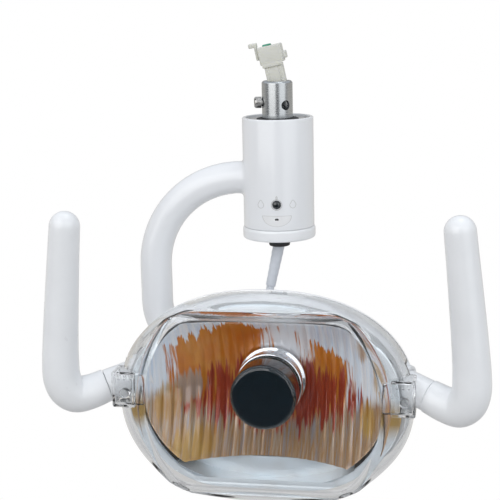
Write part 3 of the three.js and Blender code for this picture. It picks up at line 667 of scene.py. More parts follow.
def ring_frames(path):
    """A steady pair of side directions at each point of a path."""
    frames = []
    side = None
    for i, p in enumerate(path):
        tangent = (path[min(i + 1, len(path) - 1)] - path[max(i - 1, 0)]).normalized()
        if side is None:
            guess = Vector((0, 1, 0)) if abs(tangent.y) < 0.9 else Vector((1, 0, 0))
            side = guess.cross(tangent).normalized()
        else:
            side = (side - tangent * side.dot(tangent)).normalized()
        frames.append((side, tangent.cross(side)))
    return frames


def sweep(name, path, radii, sides=48):
    """A round bar of changing thickness along a path."""
    rows = []
    for (side, other), p, r in zip(ring_frames(path), path, radii):
        turns = (2 * PI * k / sides for k in range(sides))
        rows.append([p + side * (r * math.cos(t)) + other * (r * math.sin(t)) for t in turns])
    return rings(name, rows)


def block(name, low, high, edge=0.6, segments=3):
    """A box with rounded edges."""
    xs, ys, zs = zip(low, high)
    points = [(x, y, z) for z in zs for y in ys for x in xs]
    faces = [(0, 1, 3, 2), (4, 5, 7, 6), (0, 1, 5, 4), (2, 3, 7, 6), (0, 2, 6, 4), (1, 3, 7, 5)]
    obj = new_object(name, points, faces)
    return bevel(obj, edge, segments) if edge else obj


def joined(name, parts):
    """Several objects as one, each still its own closed shell."""
    target = parts[0]
    for part in parts[1:]:
        bm = bmesh.new()
        bm.from_mesh(target.data)
        bm.from_mesh(part.data)
        bm.to_mesh(target.data)
        bm.free()
        bpy.data.objects.remove(part)
    target.name = name
    return target


def turned(obj, matrix):
    """Moves the vertices themselves; the matrix is in millimetres."""
    scaled = matrix.copy()
    scaled.translation = scaled.translation * MM
    obj.data.transform(scaled)
    return obj


def flipped(obj, sign=-1):
    """Reflects the vertices in the plane X = 0 if the sign is negative."""
    if sign < 0:
        obj.data.transform(Matrix.Scale(-1, 4, (1, 0, 0)))
        obj.data.flip_normals()
    return obj


def mirrored(obj, name):
    """A left-hand copy."""
    copy = bpy.data.objects.new(name, obj.data.copy())
    copy.data.name = name
    scene.collection.objects.link(copy)
    return flipped(copy)


def set_piece(obj, body, material, slot, *nodes, sharp=38):
    """Finishes a piece: smooth shading, material, the body it rides on, and the CAD nodes it stands
    for hidden.
    """
    if not obj.data.materials:
        obj.data.materials.append(material)
    obj.data.shade_smooth()
    obj.data.set_sharp_from_angle(angle=math.radians(sharp))
    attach(obj, body)
    if nodes:
        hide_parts(*nodes)
    return obj


# ------------------------------------------------------------------ spigot and supply plug
LOCK_PLACE = Matrix.Translation((0, 0, 11.8)) @ Matrix.Rotation(math.radians(192), 4, "Z")


def spigot():
    tube = lathe("spigot", [
        (SPIGOT_BORE, -54), (12.1, -54, 0.6), (SPIGOT_R, -53.2), (SPIGOT_R, -50.9, 0.1), (11, -50.9),
        (11, -48.1), (SPIGOT_R, -48.1, 0.1), (SPIGOT_R, 27.6, 0.5), (11.3, 29, 0.5), (10.1, 29, 0.3),
        (SPIGOT_BORE, 28.2, 0.4), (SPIGOT_BORE, -54),
    ], segments=128)
    hole = lathe("hole", [(0, -20), (3.9, -20), (3.9, 20), (0, 20)], "y", 48)
    across = Matrix.Translation((0, 0, 9.9)) @ Matrix.Rotation(math.radians(42), 4, "Z")
    boolean(tube, turned(hole, across))
    hole = lathe("hole", [(0, 5), (3.35, 5), (3.35, 20), (0, 20)], "x", 48)
    boolean(tube, turned(hole, LOCK_PLACE))
    set_piece(tube, "spigot", STEEL, "brushed_steel", "spigot_tube", sharp=30)

    screw = lathe("lock_screw", [
        (0, 6.5), (3, 6.5, 0.4), (3, 12.9), (4.6, 12.9, 0.2), (4.6, 17.6, 0.7), (3.6, 18.8, 0.6),
        (0, 18.9),
    ], "x", 64)
    slot = block("slot", (17.4, -6, -0.7), (21, 6, 0.7), 0)
    boolean(screw, turned(slot, Matrix.Rotation(math.radians(40), 4, "X")))
    bevel(screw, 0.12, 2, 50)
    turned(screw, LOCK_PLACE)
    set_piece(screw, "spigot", STEEL_SMALL, "brushed_steel", "locking_screw")

    clip = lathe("circlip", [
        (11.3, -50.6), (18.5, -50.6, 0.3), (18.5, -48.5, 0.3), (11.3, -48.5), (11.3, -50.6),
    ])
    boolean(clip, block("gap", (-4, 0, -60), (4, 30, -40), 0))
    set_piece(clip, "spigot", SPRING, "spring_steel", "retaining_ring")


def supply_plug():
    lean = Matrix.Translation((1.2, 0, 24)) @ Matrix.Rotation(math.radians(-12), 4, "Y")
    sleeve = block("plug_body", (-7.4, -4.3, 1), (7.4, 4.3, 19.1), 0.9, 4)
    boolean(sleeve, block("gap", (-5.9, -2.8, 12), (5.9, 2.8, 20), 0.3))
    for x in (-4.6, 4.6):
        rib = block("rib", (x - 0.45, -4.7, 4), (x + 0.45, 4.7, 17.5), 0.3, 2)
        sleeve = joined("plug_body", [sleeve, rib])
    set_piece(turned(sleeve, lean), "spigot", NYLON, "nylon", "plug_sleeve")

    shell = block("plug_housing", (-9.8, -5.8, 19.3), (9.6, 5.8, 34), 1.1, 4)
    boolean(shell, block("bump", (8.6, -4, 21.5), (12.2, 4, 27.5), 0.8, 4), "UNION")
    boolean(shell, block("skirt", (-8.4, -5.8, 17), (8.4, -4.7, 20.5), 0.4), "UNION")
    boolean(shell, block("socket", (-7.6, -3.8, 26), (7.6, 3.8, 36), 0.5))
    boolean(shell, block("key", (-1.2, -5.0, 27), (1.2, -3.4, 36), 0.2))
    set_piece(turned(shell, lean), "spigot", NYLON, "nylon", "plug_shell")

    latch = block("latch_arm", (-12.4, -2.6, 24), (-10.2, 2.6, 37), 0.6)
    boolean(latch, block("lever", (-16.8, -2.6, 34.6), (-9.8, 2.6, 38.2), 1.0), "UNION")
    set_piece(turned(latch, lean), "spigot", NYLON, "nylon", "plug_latch")

    earth = block("earth_socket", (-5.6, -2.4, 26.4), (1.5, 2.4, 35.4), 0.9)
    boolean(earth, block("slit", (-3.6, -0.5, 30), (-0.6, 0.5, 37), 0.1))
    set_piece(turned(earth, lean), "spigot", GREEN, "green_plastic", "earth_terminal")


# ------------------------------------------------------------------ housing
def on_front(obj):
    return turned(obj, Matrix.Rotation(FACE_YAW, 4, "Z"))


def on_cylinder(name, outline, width, radius, proud):
    """A thin raised line that follows an (across, height) outline over the housing's front."""
    out = [Vector((math.sin(a / radius), -math.cos(a / radius), 0)) for a, h in outline]
    path = [Vector((radius * math.sin(a / radius), -radius * math.cos(a / radius), h))
            for a, h in outline]
    count = len(path)
    points, faces = [], []
    for i, p in enumerate(path):
        along = (path[(i + 1) % count] - path[i - 1]).normalized()
        across = along.cross(out[i]).normalized() * (width / 2)
        lift = out[i] * proud
        points += [p - across - lift, p - across + lift, p + across + lift, p + across - lift]
        faces += band(i, (i + 1) % count, 4)
    return new_object(name, points, faces)


def drop_outline(centre, size, count=40):
    """A plain water drop: round below, drawn to a point above."""
    points = []
    for i in range(count):
        turn = 2 * PI * i / count
        reach = size * (1 + 0.42 * max(0.0, math.sin(turn)) ** 6)
        narrow = 1 - 0.35 * max(0.0, math.sin(turn)) ** 2
        across = reach * math.cos(turn) * narrow
        points.append((centre[0] + across, centre[1] + reach * math.sin(turn)))
    return points


def housing():
    sleeve = lathe("housing", [
        (HOUSING_IN, -89.2), (HOUSING_R, -89.2, 0.3), (HOUSING_R, 0, 1.1), (HOUSING_IN, 0, 0.5),
        (HOUSING_IN, -89.2),
    ], segments=192)
    eye = lathe("eye", [(0, -35), (3.6, -35), (3.6, -20), (0, -20)], "y", 48, (0, 0, PANEL_Z))
    boolean(sleeve, on_front(eye))
    set_piece(sleeve, "housing", ENAMEL, "white_enamel", "housing_sleeve", sharp=32)

    plate = lathe("top_plate", [
        (17.4, -5.6), (26, -5.6), (26, -1.6, 0.3), (23.4, -1.6, 0.2), (23.1, -2.0, 0.2),
        (22.6, -1.6, 0.2), (17.4, -1.6, 0.3), (17.4, -5.6),
    ], segments=128)
    set_piece(plate, "housing", PLATE, "brushed_steel", "end_plate")
    seal = lathe("wiper_seal", [
        (12.8, -4.6), (17.1, -4.6), (17.1, -1.2, 0.4), (15.4, -0.7, 0.6), (14.2, -1.5, 0.6),
        (12.8, -0.7, 0.5), (12.8, -4.6),
    ], segments=96)
    set_piece(seal, "housing", RUBBER, "black_rubber", "dust_seal")

    inner = HOUSING_IN - 0.3
    cap = lathe("lower_cap", [
        (8.2, -99), (29.9, -99, 2.2), (29.9, -91.2, 0.5), (29.1, -89.5, 0.5), (inner, -89.5),
        (inner, -84, 0.3), (inner - 2, -84, 0.3), (inner - 2, -96, 0.5), (8.2, -96), (8.2, -99),
    ], segments=192)
    for i, degrees in enumerate((30, 210)):
        x, y = 20 * math.cos(math.radians(degrees)), 20 * math.sin(math.radians(degrees))
        well = [(0, -100), (3.15, -100), (3.15, -97.4), (0, -97.4)]
        boolean(cap, lathe("well", well, "z", 40, (x, y, 0)))
        screw = lathe(f"cap_screw_head_{i + 1}", [
            (0, -92.5), (1.5, -92.5), (1.5, -97.7), (2.8, -97.7, 0.2), (2.8, -99.0, 0.5), (0, -99.4),
        ], "z", 40, (x, y, 0))
        boolean(screw, block("slot", (x - 3, y - 0.4, -100), (x + 3, y + 0.4, -98.6), 0))
        set_piece(screw, "housing", STEEL_SMALL, "brushed_steel", f"cap_screw_{i + 1}")
    set_piece(cap, "housing", WHITE, "white_plastic", "bottom_cap", sharp=32)


def arc_outline(half_width, middle, half_height, turns):
    """(across, height) points round an oval's middle."""
    return [(half_width * math.cos(t), middle + half_height * math.sin(t)) for t in turns]


def marking(name, outline, width, lift, proud, material=ICON, slot="white_plastic"):
    """A thin line on the housing's front, its middle this much above the enamel."""
    line = on_cylinder(name, outline, width, HOUSING_R + lift, proud)
    set_piece(on_front(line), "housing", material, slot)


def sensor_panel():
    eye = lathe("indicator", [
        (0, -22.5), (3.3, -22.5), (3.3, -29.3, 0.6), (2.2, -30.3, 0.8), (0, -30.8),
    ], "y", 64, (0, 0, PANEL_Z))
    set_piece(on_front(eye), "housing", BLACK_CAP, "black_gloss", "indicator_lamp")
    circle = arc_outline(4.3, PANEL_Z, 4.3, [2 * PI * i / 48 for i in range(48)])
    marking("indicator_ring", circle, 0.5, 0.03, 0.1)
    tip = arc_outline(0.55, PANEL_Z + 5.7, 1.1, [2 * PI * i / 12 for i in range(12)])
    marking("indicator_tip", tip, 0.5, 0.03, 0.1)
    for name, across in (("drop_left", -13.4), ("drop_right", 13.4)):
        marking(name, drop_outline((across, PANEL_Z - 0.3), 2.7), 0.36, 0.02, 0.08)
    border = [(-12 + i, LENS_TOP) for i in range(25)]
    border += arc_outline(12, LENS_TOP, 8.6, [-PI * i / 36 for i in range(1, 36)])
    marking("window_border", border, 0.34, 0.02, 0.09)

    # The half-moon window itself: a thin skin that lies just proud of the enamel.
    rows, columns = 12, 36
    points = []
    for lift in (0.16, -1.2):
        for i in range(rows + 1):
            drop = 8.3 * i / rows
            half = 11.7 * math.sqrt(max(0.0, 1 - (drop / 8.4) ** 2))
            for j in range(columns + 1):
                a = (-half + 2 * half * j / columns) / HOUSING_R
                r = HOUSING_R + lift
                points.append((r * math.sin(a), -r * math.cos(a), LENS_TOP - 0.15 - drop))
    window = double_skin("sensor_window", points, rows, columns)
    set_piece(on_front(window), "housing", WINDOW, "sensor_window", "sensor_lens")
    spot = arc_outline(1.3, LENS_TOP - 3.2, 0.9, [PI * i / 12 for i in range(13)])
    marking("window_spot", spot, 0.7, 0.16, 0.1, BLACK, "black_gloss")


# ------------------------------------------------------------------ cable from housing to head
def cable():
    path = smooth_path(CABLE_ROUTE, 6)
    lead = sweep("lamp_lead", path, [CABLE_R] * len(path), 28)
    lead.data.materials.append(CABLE)
    lead.data.shade_smooth()
    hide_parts("lamp_cable")
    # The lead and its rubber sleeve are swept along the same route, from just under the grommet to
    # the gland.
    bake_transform(lead)

    part = smooth_path(CABLE_ROUTE[1:6], 12)
    count = len(part)
    radii = []
    for i in range(count):
        share = i / (count - 1)
        groove = 0.22 * (0.5 - 0.5 * math.cos(2 * PI * share * 9)) if 0.12 < share < 0.92 else 0
        radii.append(5.4 - 1.35 * share - groove)
    outer = bevel(sweep("cable_sleeve", part, radii, 40), 0.5, 3, 60)
    outer.data.materials.append(CABLE)
    outer.data.shade_smooth()
    outer.data.set_sharp_from_angle(angle=math.radians(50))
    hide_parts("strain_relief")
    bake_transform(outer)

    grommet = lathe("grommet", [
        (7.0, -106.6, 0.4), (8.4, -106.6, 0.8), (9.0, -103.5, 1.0), (9.8, -102.6, 0.8), (9.8, -99.3),
        (7.9, -99.3), (7.9, -94), (5.7, -94), (5.7, -100, 1.0), (7.0, -106.6, 0.4),
    ], segments=72)
    set_piece(grommet, "housing", RUBBER, "black_rubber", "cable_grommet")

    gland = lathe("cable_gland", [
        (3.8, 0), (6, 0, 0.5), (6, 3, 0.4), (4.8, 6, 0.6), (3.8, 6, 0.3), (3.8, 0),
    ], segments=56)
    lean = Matrix.Rotation(math.radians(-9), 4, "X")
    turned(gland, Matrix.Translation((-12, -16.6, -185.8)) @ lean)
    set_piece(gland, "head", RUBBER, "black_rubber", "head_gland")


# ------------------------------------------------------------------ arm
def arm():
    """One bent tube, with a weld fillet where it grows out of the housing."""
    sides, fillet = 72, 3.4
    sunk, narrower = 1.6, 0.97  # its hidden root, inside the housing's wall
    weld_end, bend_start = -35.5, -37.5
    turns = [2 * PI * j / sides for j in range(sides)]

    def skin(reach, turn):
        """A point on the housing's skin, round the tube's axis."""
        across = reach * math.cos(turn)
        return Vector((-math.sqrt(HOUSING_R ** 2 - across ** 2), across,
                       ARM_TOP_Z + reach * math.sin(turn)))

    def ring_at(x, z, heading):
        """Heading is the direction of travel in the XZ plane."""
        side = Vector((-heading[1], 0, heading[0]))
        middle = Vector((x, 0, z))
        return [middle + Vector((0, ARM_R * math.cos(t), 0)) - side * (ARM_R * math.sin(t))
                for t in turns]

    rows = []
    for k in range(9):
        rows.append([curve(skin(ARM_R + fillet, t), skin(ARM_R, t),
                           skin(ARM_R, t) - Vector((fillet, 0, 0)), k / 8) for t in turns])
    rows.insert(0, [Vector((p.x + sunk, p.y * narrower, ARM_TOP_Z + (p.z - ARM_TOP_Z) * narrower))
                    for p in rows[0]])
    rows.append(ring_at(weld_end, ARM_TOP_Z, (-1, 0)))
    # The CAD's path: two quarter bends, joined by a straight run.
    for radius, middle_z, start, steps in (
        (ARM_BEND_1, ARM_TOP_Z - ARM_BEND_1, PI / 2, 28), (ARM_BEND_2, TILT_Z + ARM_BEND_2, PI, 20),
    ):
        for i in range(steps + 1):
            turn = start + (PI / 2) * i / steps
            x = ARM_X + radius + radius * math.cos(turn)
            z = middle_z + radius * math.sin(turn)
            if x < bend_start:
                rows.append(ring_at(x, z, (-math.sin(turn), math.cos(turn))))
    rows.append(ring_at(ARM_END_X, TILT_Z, (1, 0)))
    set_piece(rings("arm", rows), "housing", ENAMEL, "white_enamel", "arm_tube", sharp=60)


# ------------------------------------------------------------------ tilt joint
def tilt_joint():
    centre = (0, 0, TILT_Z)
    collar = lathe("arm_ring", [
        (8.3, -36), (14.6, -36, 1.0), (15.6, -34.8, 1.0), (15.6, -28.6, 1.2), (8.3, -28.6),
        (8.3, -36),
    ], "x", 96, centre)
    set_piece(collar, "housing", WHITE, "white_plastic", "arm_collar")
    washer = lathe("friction_ring_left", [
        (8.3, -28.2), (14.8, -28.2, 0.3), (14.8, -24.5, 0.3), (8.3, -24.5), (8.3, -28.2),
    ], "x", 72, centre)
    set_piece(washer, "housing", FIBRE, "fibre", "friction_washer_left")
    cap = lathe("joint_cap", [
        (14.9, 24.9), (16.4, 24.9, 0.4), (16.4, 43, 2.4), (11, 44.6, 3), (0, 44.6), (0, 42.4),
        (14, 42.4, 0.5), (14.9, 41), (14.9, 24.9),
    ], "x", 96, centre)
    set_piece(cap, "housing", WHITE, "white_plastic", "pivot_cap")

    bracket = lathe("bracket", [
        (11.3, -24), (16, -24, 0.9), (16, 24, 0.9), (11.3, 24), (11.3, -24),
    ], "x", 96, centre)
    boolean(bracket, block("neck", (-18, -23, -213), (18, -9, -187), 2.2, 5), "UNION")
    boolean(bracket, block("flange", (-30, -25.7, -214), (30, -22, -188), 1.2, 4), "UNION")
    boolean(bracket, lathe("bore", [(0, -40), (11.3, -40), (11.3, 40), (0, 40)], "x", 96, centre))
    way = smooth_path([*CABLE_ROUTE[8:], (-12, -17.2, -194)], 4)
    boolean(bracket, sweep("way", way, [4.0] * len(way), 24))
    for x in (-24, 24):
        hole = [(0, -40), (2, -40), (2, -10), (0, -10)]
        boolean(bracket, lathe("hole", hole, "y", 24, (x, 0, TILT_Z)))
    set_piece(bracket, "head", CASTING, "white_enamel_cast", "pivot_bracket", sharp=35)
    for i, x in enumerate((-24, 24)):
        screw = lathe(f"flange_screw_{i + 1}", [
            (0, -28), (1.6, -28), (1.6, -21.7), (3.2, -21.7), (3.2, -19.8, 0.5), (2, -18.6, 0.6),
            (0, -18.5),
        ], "y", 40, (x, 0, TILT_Z))
        boolean(screw, block("drive", (x - 2, -19.6, TILT_Z - 0.4), (x + 2, -17, TILT_Z + 0.4), 0))
        boolean(screw, block("drive", (x - 0.4, -19.6, TILT_Z - 2), (x + 0.4, -17, TILT_Z + 2), 0))
        set_piece(screw, "head", STEEL_SMALL, "brushed_steel", f"bracket_screw_{i + 1}")


# ------------------------------------------------------------------ head
def reach_of(a, b, turn):
    """The head's oval, a superellipse of half-axes a and b: its reach in one direction."""
    power = 2.2
    c, s = abs(math.cos(turn)), abs(math.sin(turn))
    return ((c / a) ** power + (s / b) ** power) ** (-1 / power)


def flat_reach(height, turn):
    return height / max(abs(math.sin(turn)), 1e-6)


def ellipse_reach(a, b, turn):
    return 1 / math.sqrt((math.cos(turn) / a) ** 2 + (math.sin(turn) / b) ** 2)


def window_reach(turn, grow):
    """The shield's window: an ellipse cut flat above and below, with rounded corners."""
    sharpness = 26
    flat = flat_reach(WINDOW_H + grow, turn)
    side = ellipse_reach(WINDOW_A + grow, WINDOW_B + grow, turn)
    return (flat ** -sharpness + side ** -sharpness) ** (-1 / sharpness)


HEAD_SIDES = 256


def head_ring(reach, y):
    """A ring in the XZ plane; reach gives the distance from the middle in each direction."""
    return [Vector((reach(t) * math.cos(t), y, HEAD_Z + reach(t) * math.sin(t)))
            for t in (2 * PI * (k + 0.5) / HEAD_SIDES for k in range(HEAD_SIDES))]


def oval_ring(a, b, y):
    return head_ring(lambda turn: reach_of(a, b, turn), y)


def oval(inset):
    return lambda turn: reach_of(RIM_A, RIM_B, turn) - inset


def blended(share, inset):
    """From the rim's oval (0) to the window's edge (1)."""
    def reach(turn):
        rim = reach_of(RIM_A, RIM_B, turn)
        edge = min(window_reach(turn, 4.5), rim - 1.5)
        return rim + (edge - rim) * share - inset
    return reach


def window_edge(grow, margin):
    """The window's edge, kept at least the margin inside the rim's oval."""
    return lambda turn: min(window_reach(turn, grow), reach_of(RIM_A, RIM_B, turn) - margin)


def pane(share):
    return lambda turn: window_reach(turn, -4.4) * share


def shield():
    depth = SKIRT - SHIELD_FRONT - 2
    steps = 14
    shares = (0.9, 0.7, 0.45, 0.2)
    turns = [(PI / 2) * i / steps for i in range(steps + 1)]
    outer = [head_ring(oval(0.25), SHIELD_BACK)]
    outer += [head_ring(oval(0), y) for y in (SHIELD_BACK - 0.4, -79, -82, SKIRT)]
    outer += [head_ring(blended(1 - math.cos(t), 0), SKIRT - depth * math.sin(t)) for t in turns[1:]]
    # The window's frame: a raised rounded rib, then the flat pane a little behind it.
    outer += [head_ring(window_edge(grow, 2.2), y) for grow, y in (
        (3.6, -105.4), (2.9, -106.6), (2.0, -107.6), (0.8, -108.1), (-0.6, -108.1), (-1.8, -107.6),
        (-2.6, -106.8), (-3.2, -106.3), (-4.4, -106.1),
    )]
    outer += [head_ring(pane(share), -106.1) for share in shares]
    inner = [head_ring(pane(share), -103.6) for share in reversed(shares)]
    inner += [head_ring(window_edge(grow, 4.6), y) for grow, y in (
        (-4.4, -103.6), (-2.4, -103.4), (0.4, -102.8),
    )]
    for i in range(steps, -1, -1):
        wall = SHIELD_WALL * (0.4 + 0.6 * i / steps)
        y = SKIRT + wall - depth * math.sin(turns[i])
        inner.append(head_ring(blended(1 - math.cos(turns[i]), SHIELD_WALL), y))
    inner += [head_ring(oval(SHIELD_WALL), y) for y in (-80, SHIELD_BACK - 0.4)]
    inner.append(head_ring(oval(SHIELD_WALL - 0.25), SHIELD_BACK))
    rows = outer + inner
    faces = []
    ends = (len(outer) - 1, len(outer))  # the middle of the pane, outside and inside
    for i in range(len(rows)):
        if i != ends[0]:
            faces += band(i, (i + 1) % len(rows), HEAD_SIDES)
    for i in ends:
        faces.append(tuple(i * HEAD_SIDES + k for k in range(HEAD_SIDES)))
    body = new_object("shield", [p for row in rows for p in row], faces)
    # The hub blocks stop at the shield's inner face, with a little to fuse them to it.
    fuse, sink = 0.994, 0.3
    inside = [[Vector((p.x * fuse, p.y + sink, HEAD_Z + (p.z - HEAD_Z) * fuse)) for p in row]
              for row in inner]
    for sign in (1, -1):
        for tool, operation in ear_tools(sign):
            if operation == "UNION":
                boolean(tool, rings("inside", inside))
            boolean(body, tool, operation)
    set_piece(body, "shield", CLEAR, "clear_polycarbonate", "front_shield", sharp=30)

    for side, sign in (("right", 1), ("left", -1)):
        plate = block("catch", (102, -105.6, -212), (115, -103.6, -189.6), 0.5)
        boss = [(0, -105), (3.6, -105), (3.6, -99, 0.7), (0, -99)]
        boolean(plate, lathe("boss", boss, "y", 40, (109, 0, -205)), "UNION")
        for i in range(3):
            x = 103 + 4.2 * i
            boolean(plate, block("rib", (x, -105, -194), (x + 1.6, -101, -190), 0.3), "UNION")
        flipped(plate, sign).name = f"catch_{side}"
        set_piece(plate, "shield", CLEAR, "clear_polycarbonate", f"shield_catch_{side}")


STUB_PLACE = Matrix.Translation(STUB_ROOT) @ STUB_DIR.to_track_quat("X", "Z").to_matrix().to_4x4()


def stub_rod(r, low, high, segments=48):
    """A rod along the right-hand stub's axis."""
    rod = lathe("rod", [(0, low), (r, low), (r, high), (0, high)], "x", segments)
    return turned(rod, STUB_PLACE)


def ear_tools(sign):
    """The hub block beside the window: a rounded hollow box, open behind, cut round the stub."""
    ear = flipped(block("ear", (99, -108, -215.5), (117.5, -86, -187), 1.6, 5), sign)
    hollow = flipped(block("hollow", (93, -106, -213.5), (115.5, -81, -189), 1.0, 3), sign)
    slot = flipped(block("slot", (106, -88.4, -216), (125, -60, -179), 0), sign)
    rod = flipped(stub_rod(STUB_R + 1.2, -20, 40), sign)
    return [(ear, "UNION"), (hollow, "DIFFERENCE"), (rod, "DIFFERENCE"), (slot, "DIFFERENCE")]


def rear_cover():
    wall = 2.5
    outline = [(-26, 0.02, 0.02), (-26, 24, 18), (-26.2, 40, 30), (-27.6, 47, 35.4)]
    for i in range(1, 13):
        t = (PI / 2) * i / 12
        a = 47 + 63 * math.sin(t) ** 0.92
        b = 35.4 + 43.1 * math.sin(t) ** 0.92
        outline.append((-27.6 - 44.4 * (1 - math.cos(t)), a, b))
    rows = [oval_ring(a, b, y) for y, a, b in outline]
    rows += [oval_ring(COVER_A, COVER_B, y) for y in (-76, -84, -89.4)]
    rows.append(oval_ring(COVER_A - 0.6, COVER_B - 0.6, -90))
    inner = [oval_ring(max(a - wall, 0.02), max(b - wall, 0.02), y - 2.4) for y, a, b in outline]
    inner += [oval_ring(COVER_A - wall, COVER_B - wall, y) for y in (-80, -89.6)]
    inner.append(oval_ring(COVER_A - 2, COVER_B - 2, -90))
    shell = rings("cover", rows + inner[::-1])
    lip = rings("lip", [oval_ring(a, b, y) for a, b, y in (
        (COVER_A - 1, COVER_B - 1, -72.6), (RIM_A - 0.5, RIM_B - 0.5, -72.6), (RIM_A, RIM_B, -73),
        (RIM_A, RIM_B, -75), (RIM_A - 0.4, RIM_B - 0.4, -75.4), (COVER_A - 1, COVER_B - 1, -75.4),
    )], capped=False)
    boolean(shell, lip, "UNION")
    for sign in (1, -1):
        boss = lathe("boss", [(0, -4), (STUB_R + 3, -4), (STUB_R + 3, 9, 1.2), (0, 9)], "x", 64)
        boolean(shell, flipped(turned(boss, STUB_PLACE), sign), "UNION")
        boolean(shell, flipped(stub_rod(STUB_R + 0.3, 0, 40), sign))
    # The bosses end flush with the cover's front edge.
    boolean(shell, block("trim", (-130, -140, -300), (130, -90.001, -120), 0))
    for x in (-22, 0, 22):
        for z in (HEAD_Z + 62, HEAD_Z - 62):
            boolean(shell, block("vent", (x - 2, -60, z - 20), (x + 2, -41, z + 20), 1.2, 3))
    set_piece(shell, "head", WHITE, "white_plastic", "rear_cover", sharp=35)


def bowl_depth(x, z):
    """Depth of the mirror's smooth bowl over a point, from the middle of the lamp."""
    return BOWL_RIM + BOWL_DEPTH * (1 - (x / BOWL_A) ** 2 - (z / BOWL_B) ** 2)


def mirror():
    """The fluted bowl, column by column, so that every flute has its own clean ridge."""
    half_columns, per_flute, rows = 13, 10, 64
    width = BOWL_A / half_columns
    columns = 2 * half_columns * per_flute
    points = []
    for front in (True, False):
        for i in range(columns + 1):
            x = -BOWL_A + 2 * BOWL_A * i / columns
            x = max(-BOWL_A * 0.9995, min(BOWL_A * 0.9995, x))
            reach = min(BOWL_CUT, BOWL_B * math.sqrt(1 - (x / BOWL_A) ** 2))
            phase = (x / width) % 1.0
            ridge = 0.75 * math.sin(PI * phase) ** 0.8 if front else -2.0
            for j in range(rows + 1):
                z = -reach + 2 * reach * j / rows
                # A slow wave down each flute breaks up its reflections as pressed metal does.
                wave = 0.12 * noise.noise(Vector((x * 0.11, z * 0.05, 3.7))) if front else 0
                y = bowl_depth(x, z) - ridge + wave
                points.append((x, max(y, BOWL_RIM - 0.2) if front else y, OPTICAL_Z + z))
    bowl = double_skin("mirror", points, columns, rows)
    opening = [(0, -60), (COLLAR_R + 0.5, -60), (COLLAR_R + 0.5, 0), (0, 0)]
    boolean(bowl, lathe("hole", opening, "y", 96, (0, 0, OPTICAL_Z)))
    set_piece(bowl, "head", DICHROIC, "dichroic_glass", "reflector", sharp=42)


def frame_ring():
    """The silvered frame round the mirror, with sloping shelves above and below it."""
    def plate(inset):
        return lambda turn: reach_of(COVER_A - 3.6, COVER_B - 1.6, turn) - inset

    body = rings("mirror_frame", [head_ring(plate(inset), y) for inset, y in (
        (0.5, -92.2), (0, -92.7), (0, -95.4), (0.7, -96),
    )])
    cheeks = rings("cheeks", [oval_ring(COVER_A - 8, COVER_B - 7.5, y) for y in (-70, -94)])
    top = BOWL_CUT + 0.4
    boolean(cheeks, block("sides", (-150, -92.1, OPTICAL_Z - top), (150, -50, OPTICAL_Z + top), 0))
    boolean(body, cheeks, "UNION")
    steps, front_half = 96, 68.7
    opening = []
    for y, half in ((-60, top), (-69, top), (-100, front_half)):
        row = []
        for k in range(steps):
            turn = 2 * PI * (k + 0.5) / steps
            reach = min(flat_reach(half, turn), ellipse_reach(BOWL_A + 0.4, 82.0, turn))
            row.append(Vector((reach * math.cos(turn), y, OPTICAL_Z + reach * math.sin(turn))))
        opening.append(row)
    boolean(body, rings("opening", opening))
    for sign in (1, -1):
        boolean(body, flipped(stub_rod(STUB_R + 0.8, 0, 40), sign))
    bevel(body, 0.35, 2, 40)
    set_piece(body, "head", SILVER, "silver_plastic", "reflector_frame", sharp=40)


def lamp():
    centre = (0, 0, OPTICAL_Z)
    collar = lathe("collar", [
        (14.2, -36), (COLLAR_R, -36), (COLLAR_R, -49.6, 0.4), (27.6, -50, 0.4), (27.6, -51.3, 0.5),
        (COLLAR_R, -52.8, 0.8), (COLLAR_R, -60, 2), (26.6, -63.5, 1.2), (27.2, -65.6, 0.8),
        (26.4, -67.4, 0.9), (24.4, -67.6, 0.8), (23.1, -65.6, 0.4), (23.1, -38), (14.2, -38),
        (14.2, -36),
    ], "y", 128, centre)
    set_piece(collar, "head", CHROME, "chrome", "lamp_collar", sharp=35)
    tube = lathe("lamp_tube", [
        (20.8, -56, 0.3), (22.8, -56, 0.3), (22.8, -92, 0.3), (20.8, -92, 0.3), (20.8, -56),
    ], "y", 96, centre)
    set_piece(tube, "head", GLASS, "clear_glass", "lamp_glass")
    holder = lathe("bulb_holder", [
        (0, -28.9), (19, -28.9, 0.5), (19, -32, 0.5), (13.8, -32.4, 0.4), (13.8, -52, 0.8),
        (12.6, -53.2, 0.5), (0, -53.2),
    ], "y", 72, centre)
    set_piece(holder, "head", CERAMIC, "ceramic", "lamp_holder")
    bulb = lathe("bulb", [
        (0, -53.5), (4.5, -53.5, 0.5), (5.6, -56, 1), (5.6, -72, 2), (4.6, -76.5, 2),
        (2.4, -79.6, 1.2), (0, -80.6),
    ], "y", 48, centre)
    set_piece(bulb, "head", GLASS, "clear_glass", "halogen_bulb")
    cap = lathe("lamp_hood", [
        (23.2, -76), (25.7, -76, 0.6), (26, -76.8, 0.3), (26, -95.4, 0.6), (25.4, -96.4, 0.5),
        (24.9, -96.6, 0.4), (24.4, -97.6, 0.8), (23, -98.2, 0.8), (0, -98.35), (0, -95.4),
        (22.4, -95.4, 0.5), (23.2, -94.6), (23.2, -76),
    ], "y", 160, centre)
    set_piece(cap, "head", BLACK_CAP, "black_enamel", "lamp_cap", sharp=30)


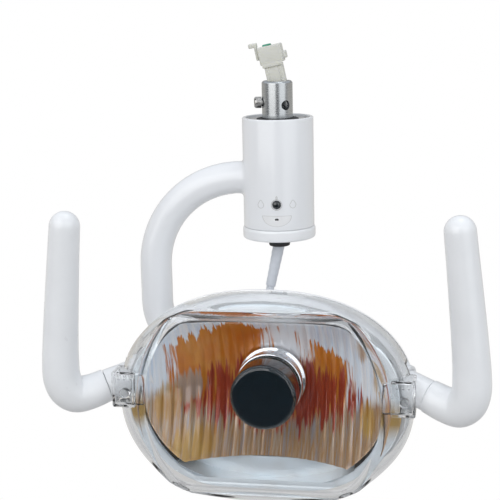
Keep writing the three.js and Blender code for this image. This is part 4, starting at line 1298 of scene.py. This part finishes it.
# ------------------------------------------------------------------ handles
def handles():
    grip_end = SEAM + 0.3  # a hair clear of the stub's shoulder
    path = smooth_path([tuple(STUB_ROOT + STUB_DIR * grip_end), *HANDLE_PATH])
    radii = []
    for i in range(len(path)):
        place = i / (len(path) - 1) * (len(HANDLE_RADII) - 1)
        below = min(int(place), len(HANDLE_RADII) - 2)
        ease = place - below
        radii.append(HANDLE_RADII[below] * (1 - ease) + HANDLE_RADII[below + 1] * ease)
    # A dome closes the top.
    top, rise, dome = path[-1].copy(), (path[-1] - path[-2]).normalized(), HANDLE_RADII[-1]
    for i in range(1, 13):
        turn = (PI / 2) * i / 12.5
        path.append(top + rise * (dome * math.sin(turn)))
        radii.append(dome * math.cos(turn))
    grip = sweep("grip_right", path, radii, 56)
    boolean(grip, stub_rod(40, -30, grip_end, 24))
    boolean(grip, stub_rod(8.6, SEAM - 2, SEAM + 24))
    bevel(grip, 0.5, 3, 55)
    left = mirrored(grip, "grip_left")
    set_piece(grip, "handle_r", WHITE, "white_plastic", "handle_right", sharp=40)
    set_piece(left, "handle_l", WHITE, "white_plastic", "handle_left", sharp=40)

    stub = turned(lathe("stub_right", [
        (0, 0.3), (STUB_R, 0.3), (STUB_R, SEAM, 0.7), (8.3, SEAM), (8.3, SEAM + 22, 0.8),
        (0, SEAM + 22),
    ], "x", 72), STUB_PLACE)
    left = mirrored(stub, "stub_left")
    set_piece(stub, "head", WHITE, "white_plastic", "handle_stub_right")
    set_piece(left, "head", WHITE, "white_plastic", "handle_stub_left")


# ------------------------------------------------------------------ carried-over CAD nodes
KEPT = {
    "stop_pin": SPRING, "supply_contacts": BRONZE, "supply_lead": CABLE,
    "bearing_carrier": ALUMINIUM, "upper_bush": BRONZE, "lower_bush": BRONZE,
    "thrust_washer": NYLON, "stop_screw": SPRING, "sensor_board": BOARD,
    "infrared_emitter": BLACK, "infrared_receiver": BLACK, "power_relay": BLACK,
    "terminal_block": NYLON, "pivot_shaft": STEEL, "friction_washer_right": FIBRE,
    "disc_spring": SPRING, "lock_nut": SPRING, "pivot_bush": BRONZE, "rim_seal": SILICONE,
}


def carry_over():
    for name, material in KEPT.items():
        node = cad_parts[name]
        node.data.materials.clear()
        node.data.materials.append(material)


for build in (spigot, supply_plug, housing, sensor_panel, cable, arm, tilt_joint, shield,
              rear_cover, mirror, frame_ring, lamp, handles, carry_over):
    build()
